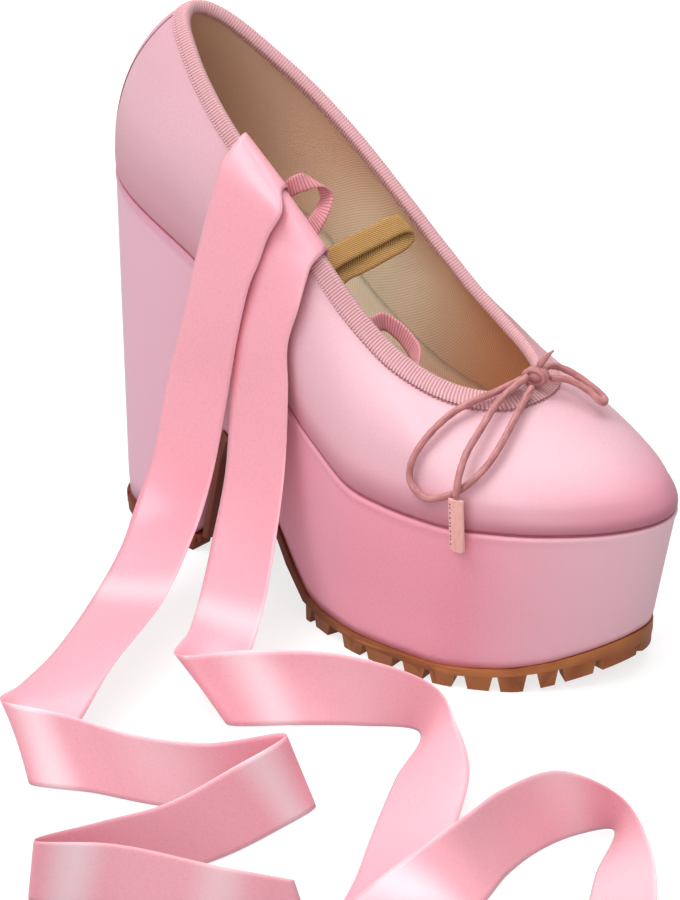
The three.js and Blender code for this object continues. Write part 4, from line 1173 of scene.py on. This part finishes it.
def bindingSection():  # rows of fixed drop, share of the lap, offset, rib share, height from its lower edge
    near, back = last["gap"], -last["wall"] - last["gap"]
    face, behind = near + last["tape"], back - last["tape"]
    cut = last["gap"] + last["tape"]
    rows = [(cut, 1, near + 0.1, 0, 0), (cut, 1, face - 0.1, 0.7, 0.1)]
    for up in (0.3, 0.8, 1.25, 1.7, 2.15, 2.6, 3.2):
        dent = binding["stitchDepth"] * math.exp(-((up - bindingStitch["rise"]) / 0.4) ** 2)
        rows.append((cut - up, 1, face - dent, 1, up))
    rows += [(1.9, 0.05, face, 1, 5), (1.6, 0, face, 1, 6)]
    middle, half = (face + behind) / 2, (face - behind) / 2
    for bend in np.linspace(0.15, np.pi - 0.15, 9):
        rows.append((1.3 - 1.3 * math.sin(bend), 0, middle + half * math.cos(bend), 0.8, 7 + bend))
    lowIn = cut + binding["lapIn"]
    rows += [(2.6, 0, behind, 1, 11), (lowIn - 0.3, 0, behind, 1, 13.5)]
    rows += [(lowIn, 0, behind + 0.3, 0.4, 14), (lowIn, 0, back, 0, 14.5)]
    rows += [(cut - near, 0, back, 0, 16), (cut - near, 0, near, 0, 17), (cut + 3, 0, near, 0, 18)]
    return np.array(rows).T, middle


def makeBinding():
    count = binding["ribs"] * binding["perRib"]
    angle = evenAngles(count)
    phase = np.arange(count) % binding["perRib"] / binding["perRib"]
    rib = np.abs(np.sin(np.pi * phase)) ** 0.7
    (drop, lapShare, offset, lift, high), middle = bindingSection()
    drops = drop[None] + lapAt(turnOf(angle))[:, None] * lapShare[None]
    drops = drops - binding["scallop"] * (1 - rib)[:, None] * np.exp(-high / 0.5)[None] * lapShare[None]
    sign = np.where(offset >= middle, 1, -1)
    offsets = offset[None] + binding["ribHeight"] * (rib - 1)[:, None] * (lift * sign)[None]
    along = (skin(angle + 0.5, [0], 0) - skin(angle - 0.5, [0], 0))[:, 0]  # per degree
    down = (skin(angle, [6], 0) - skin(angle, [0], 0))[:, 0] / 6
    lean = -(along * down).sum(1) / (along * along).sum(1)  # keeps the ribs square to the tape's edge
    lean = np.convolve(np.tile(lean, 3), np.ones(41) / 41, "same")[count:2 * count]
    lines = [skin(angle + lean * low, low[:, None], off[:, None]) for low, off in zip(drops.T, offsets.T)]
    points = np.concatenate(lines, 1)
    along = np.arange(count + 1) / binding["perRib"] * tapePitch
    uvs = np.stack(np.meshgrid(np.append(high, 19), along), -1)
    piece = gridPiece("top_binding", place(points), closedRows=True, closedColumns=True, uvs=uvs)
    closeSeams(piece)
    finishPiece(piece, "tape", bindingTape, "binding")


makeBinding()

# Stitches: a row of thread along the binding's lower edge
stitch = {"count": 256, "below": 0.1, "size": [0.34, 0.5, 0.3]}  # size out, along and down, in millimetres


def makeStitches():
    angle = evenAngles(stitch["count"])
    drops = lapAt(turnOf(angle))[:, None] + last["gap"] + last["tape"] + stitch["below"]
    centre = skin(angle, drops, 0.1)[:, 0]
    out = skin(angle, drops, 1.1)[:, 0] - centre
    along = unit(np.roll(centre, -1, 0) - np.roll(centre, 1, 0))
    axes = np.stack([out, along, np.cross(out, along)], 1) * np.array(stitch["size"])[:, None]
    bpy.ops.object.select_all(action="DESELECT")
    bpy.ops.mesh.primitive_uv_sphere_add(segments=8, ring_count=6, radius=1)
    row = bpy.context.object
    row.name = "binding_stitches"
    ball = np.array([vertex.co for vertex in row.data.vertices])
    faces = [list(face.vertices) for face in row.data.polygons]
    points = centre[:, None] + ball @ axes
    many = [[corner + k * len(ball) for corner in face] for k in range(len(centre)) for face in faces]
    row.data.clear_geometry()
    row.data.from_pydata(place(points.reshape(-1, 3)).tolist(), [], many)
    bpy.ops.object.shade_smooth()
    finishPiece(row, "tape", bindingThread)


makeStitches()
print("binding folded and sewn")

# Insole: lies on the platform inside the foot of the upper
insole = {"thick": 2.4, "steps": 96, "columns": 21, "inset": 3.1, "crown": 0.5, "rim": 4, "clear": 0.2}


def makeInsole():
    turn = np.linspace(0, 180, insole["steps"])
    sides = []
    for ring in (turn, 360 - turn):  # the sock turns up a little against the lining
        rise = wallLengths(ring)[1][:, -1:] - insole["rim"]
        sides.append(featherPoint(ring) - outward(featherPoint, ring) * insole["inset"])
        sides.append(skin(ring, rise, -last["wall"] - insole["clear"]))
    left, leftRim, right, rightRim = sides
    s = np.linspace(0, 1, insole["columns"])
    low = left[:, None] + (right - left)[:, None] * s[None, :, None]
    top = low.copy()
    top[..., 2] += insole["thick"] - insole["crown"] * (2 * s[None] - 1) ** 8
    points = np.concatenate([leftRim, top, rightRim, low[:, ::-1]], 1)
    piece = gridPiece("sock_insole", place(points), closedColumns=True)
    closeSeams(piece)
    finishPiece(piece, "sock", liningTwill, "insole")


makeInsole()

# Platform and heel: satin drawn over the block, its upper edge rounded into the seam
platform = {
    "steps": 220,
    "wallRows": 26,
    "crowd": 1.6,  # draws the rows together towards the seam
    "rimHigh": 2.6,
    "rimProud": 0.4,
    "rimTurn": 0.7,
    "footHigh": 0.8,
    "footRound": 0.36,
    "heelCorner": 1.1,  # how far the draft moves the heel's foot
}


def undersideZ(x):
    part = (x - heelFoot["x"]) / (archLine["x"][0] - heelFoot["x"])
    breast = heelFoot["z"] + (archLine["z"][0] - heelFoot["z"]) * part
    return np.where(x <= heelFoot["x"], heelFoot["z"], np.where(part >= 1, archZ(x), breast))


def platformWall(turn, angle, half, draft, side):
    top = featherPoint(angle)
    x = top[:, 0] + draftShift(top[:, 0])
    flare = draft(top[:, 0]) * np.minimum(1, np.sin(np.radians(turn)) * 4)
    foot = np.stack([x, side * (half(turn) + flare), undersideZ(x)], -1)
    top[:, 2] -= last["gap"]
    part = np.linspace(0, 1, platform["wallRows"])[None] ** platform["crowd"]
    points = top[:, None] + (foot - top)[:, None] * part[..., None]
    height = np.linalg.norm(foot - top, axis=1)[:, None]
    deep = part * height
    rim = platform["rimHigh"]
    proud = platform["rimProud"] * np.exp(-((deep - rim * 0.45) / (rim * 0.5)) ** 2)
    proud = proud - platform["rimTurn"] * (1 - smoothStep(0, rim * 0.45, deep))
    proud = proud - platform["footRound"] * (1 - smoothStep(0, platform["footHigh"], height - deep))
    return points + outward(featherPoint, angle)[:, None] * proud[..., None]


def makePlatform():
    ends = last["heelBack"], last["toeTip"]
    corners = [math.degrees(math.acos((sum(ends) - 2 * x) / (ends[1] - ends[0])))
               for x in (heelFoot["x"] - platform["heelCorner"], archLine["x"][0])]
    turn = np.sort(np.concatenate([np.linspace(0, 180, platform["steps"]), corners]))
    lateral = platformWall(turn, turn, lateralHalf, lateralDraft, -1)
    medial = platformWall(turn, 360 - turn, medialHalf, medialDraft, 1)
    s = np.linspace(0, 1, 7)[1:-1][None, :, None]
    under = lateral[:, -1:] + (medial[:, -1:] - lateral[:, -1:]) * s
    over = medial[:, :1] + (lateral[:, :1] - medial[:, :1]) * s
    points = np.concatenate([lateral, under, medial[:, ::-1], over], 1)
    deep = np.linalg.norm(np.diff(lateral, axis=1), axis=2).cumsum(1)
    deep = np.concatenate([np.zeros((len(turn), 1)), deep], 1)
    flat = deep[:, -1:] + np.arange(1, under.shape[1] + 1)[None] * 5
    high = np.concatenate([deep, flat, deep[:, ::-1], flat * 0, deep[:, :1]], 1)
    along = arcLength(featherPoint(turn))
    uvs = np.stack([np.broadcast_to(along[:, None], high.shape), high], -1)
    piece = gridPiece("platform_cover", place(points), closedColumns=True, uvs=uvs)
    closeSeams(piece)
    finishPiece(piece, "wrap", platformSatin, "platform_unit")


makePlatform()
print("platform covered")

# Rubber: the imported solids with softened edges
rubber = {"edge": 0.00035, "angle": 40}


def makeRubberPiece(name, node):
    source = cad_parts[node]
    piece = bpy.data.objects.new(name, source.data.copy())
    piece.data.materials.clear()
    scene.collection.objects.link(piece)
    onlySelect(piece)
    bpy.ops.object.mode_set(mode="EDIT")
    bpy.ops.mesh.select_all(action="SELECT")
    bpy.ops.mesh.remove_doubles(threshold=0.00002)
    bpy.ops.mesh.dissolve_limited(angle_limit=math.radians(4))
    bpy.ops.object.mode_set(mode="OBJECT")
    bevel = piece.modifiers.new("edge", "BEVEL")
    bevel.width = rubber["edge"]
    bevel.segments = 2
    bevel.limit_method = "ANGLE"
    bevel.angle_limit = math.radians(rubber["angle"])
    bpy.ops.object.modifier_apply(modifier="edge")
    bpy.ops.object.shade_smooth_by_angle(angle=math.radians(35))
    finishPiece(piece, "gum", gumRubber, node)


makeRubberPiece("rubber_sole", "outsole")
makeRubberPiece("rubber_lift", "top_lift")
print("rubber softened")

# Loops sewn inside the collar: places along the tape, or its feet at the wall, and the way its width points
elasticAcross = [0.77, 0, -0.64]
loops = {
    "elastic": {
        "wide": elasticWide,
        "thick": 1,
        "rows": [(row, elasticAcross) for row in (
            {"turn": 92.3, "drop": 12, "lean": 0.3},
            [-9.8, -16, 116.4],
            [-9, -8.7, 117.7],
            [-7.5, 2.7, 119.2],
            [-5, 11.8, 121.2],
            [-3.7, 14.2, 120.6],
            [-3.5, 14.2, 118],
            [-3.4, 10.9, 116.4],
            [-5, 2.2, 114.4],
            [-6.5, -6.6, 112.8],
            [-7.6, -14, 111.8],
            {"turn": 94.2, "drop": 15.4, "lean": 0.3},
        )],
    },
    "rear": {
        "wide": 6,
        "thick": 0.8,
        "rows": [
            ([-29.5, -16.6, 134], [0.27, 0, -0.96]),
            ([-26.8, -15.4, 136.8], [0.3, 0, -0.95]),
            ([-23.8, -13.2, 138.4], [0.5, 0, -0.86]),
            ([-21.5, -9.7, 137.6], [0.95, 0, -0.25]),
            ([-19.5, -7.4, 133], [0.88, 0, 0.45]),
            ([-18.5, -10.4, 129.6], [1, 0, 0]),
            ([-17.8, -14.6, 126.4], [0.75, 0, -0.65]),
            ({"turn": 86, "drop": 13.5, "lean": 0.3}, [0.72, 0, -0.69]),
        ],
    },
    "front": {
        "wide": 6,
        "thick": 0.8,
        "rows": [
            ({"turn": 107, "drop": 14, "lean": 1.25}, [-0.77, 0, 0.64]),
            ([9, -13.2, 99], [-0.2, 0.1, 0.97]),
            ([13.5, -11.6, 96.9], [0.1, 0.2, 0.97]),
            ([19, -11.8, 93.7], [0.3, 0.3, 0.9]),
            ([23.5, -14.2, 91.4], [0.4, 0.3, 0.85]),
            ({"turn": 124, "drop": 15, "lean": 1.25}, [0.3, 0.62, 0.72]),
        ],
    },
}


def loopPlace(row, thick):
    if isinstance(row, list):
        return np.array(row, float)
    return skin([row["turn"]], [row["drop"]], -last["wall"] - last["gap"] - thick / 2 - row["lean"])[0, 0]


def makeLoop(name, key, node, slot, material):
    loop = loops[key]
    middle = np.array([loopPlace(row, loop["thick"]) for row, _ in loop["rows"]])
    reach = unit(np.array([across for _, across in loop["rows"]], float)) * loop["wide"] / 2
    left, right = throughPoints(middle - reach, 10), throughPoints(middle + reach, 10)
    piece = gridPiece(name, place(bandPoints(left, right, loop["thick"])), closedColumns=True)
    closeSeams(piece)
    finishPiece(piece, slot, material, node)


makeLoop("elastic_band", "elastic", "elastic_loop", "elastic", elasticWeb)
makeLoop("rear_tape", "rear", "tape_loop_rear", "tape", loopTape)
makeLoop("front_tape", "front", "tape_loop_front", "tape", loopTape)
print("loops sewn in")

# Floor and soft studio light
studio = {
    "floor": 12.0,
    "glow": (0.22, 0.75),  # lifts the floor to white in the picture, less in reflections
    "sky": (0.12, 0.65),  # from the horizon up
    "lamps": [  # place, aim, size, watts
        ((-0.15, 0.35, 1.5), (0, 0, 0.05), 1.2, 10),
        ((-0.35, -0.65, 1.45), (0, 0, 0.05), 0.9, 11),
        ((0.45, -1.4, 0.9), (0, 0, 0.05), 1.4, 10),
    ],
}


def makeFloor():
    bpy.ops.object.select_all(action="DESELECT")
    bpy.ops.mesh.primitive_plane_add(size=studio["floor"])
    floor = bpy.context.object
    floor.name = "floor"
    material, tree, surface = newMaterial("paleFloor", {
        "Base Color": shade(160, 160, 160),
        "Roughness": 0.9,
        "Specular IOR Level": 0.1,
        "Emission Color": shade(255, 255, 255),
    })
    seen = addNode(tree, "LightPath").outputs["Is Camera Ray"]
    tree.links.new(mapRange(tree, seen, 0, 1, *studio["glow"]), surface.inputs["Emission Strength"])
    floor.data.materials.append(material)


def makeStudio():
    makeFloor()
    world = bpy.data.worlds.new("studio")
    scene.world = world
    world.use_nodes = True
    tree = world.node_tree
    back = tree.nodes["Background"]
    back.inputs["Color"].default_value = shade(255, 255, 255)
    high = splitVector(tree, addNode(tree, "TexCoord").outputs["Generated"])[2]
    tree.links.new(mapRange(tree, high, 0.05, 0.9, *studio["sky"]), back.inputs["Strength"])
    for at, aim, size, watts in studio["lamps"]:
        bpy.ops.object.light_add(type="AREA", location=at)
        lamp = bpy.context.object
        lamp.data.size = size
        lamp.data.energy = watts
        away = np.array(at) - np.array(aim)
        lean = math.atan2(math.hypot(away[0], away[1]), away[2])
        lamp.rotation_euler = (lean, 0, math.atan2(away[0], -away[1]))
    scene.view_settings.view_transform = "Standard"


makeStudio()
print("studio lit")
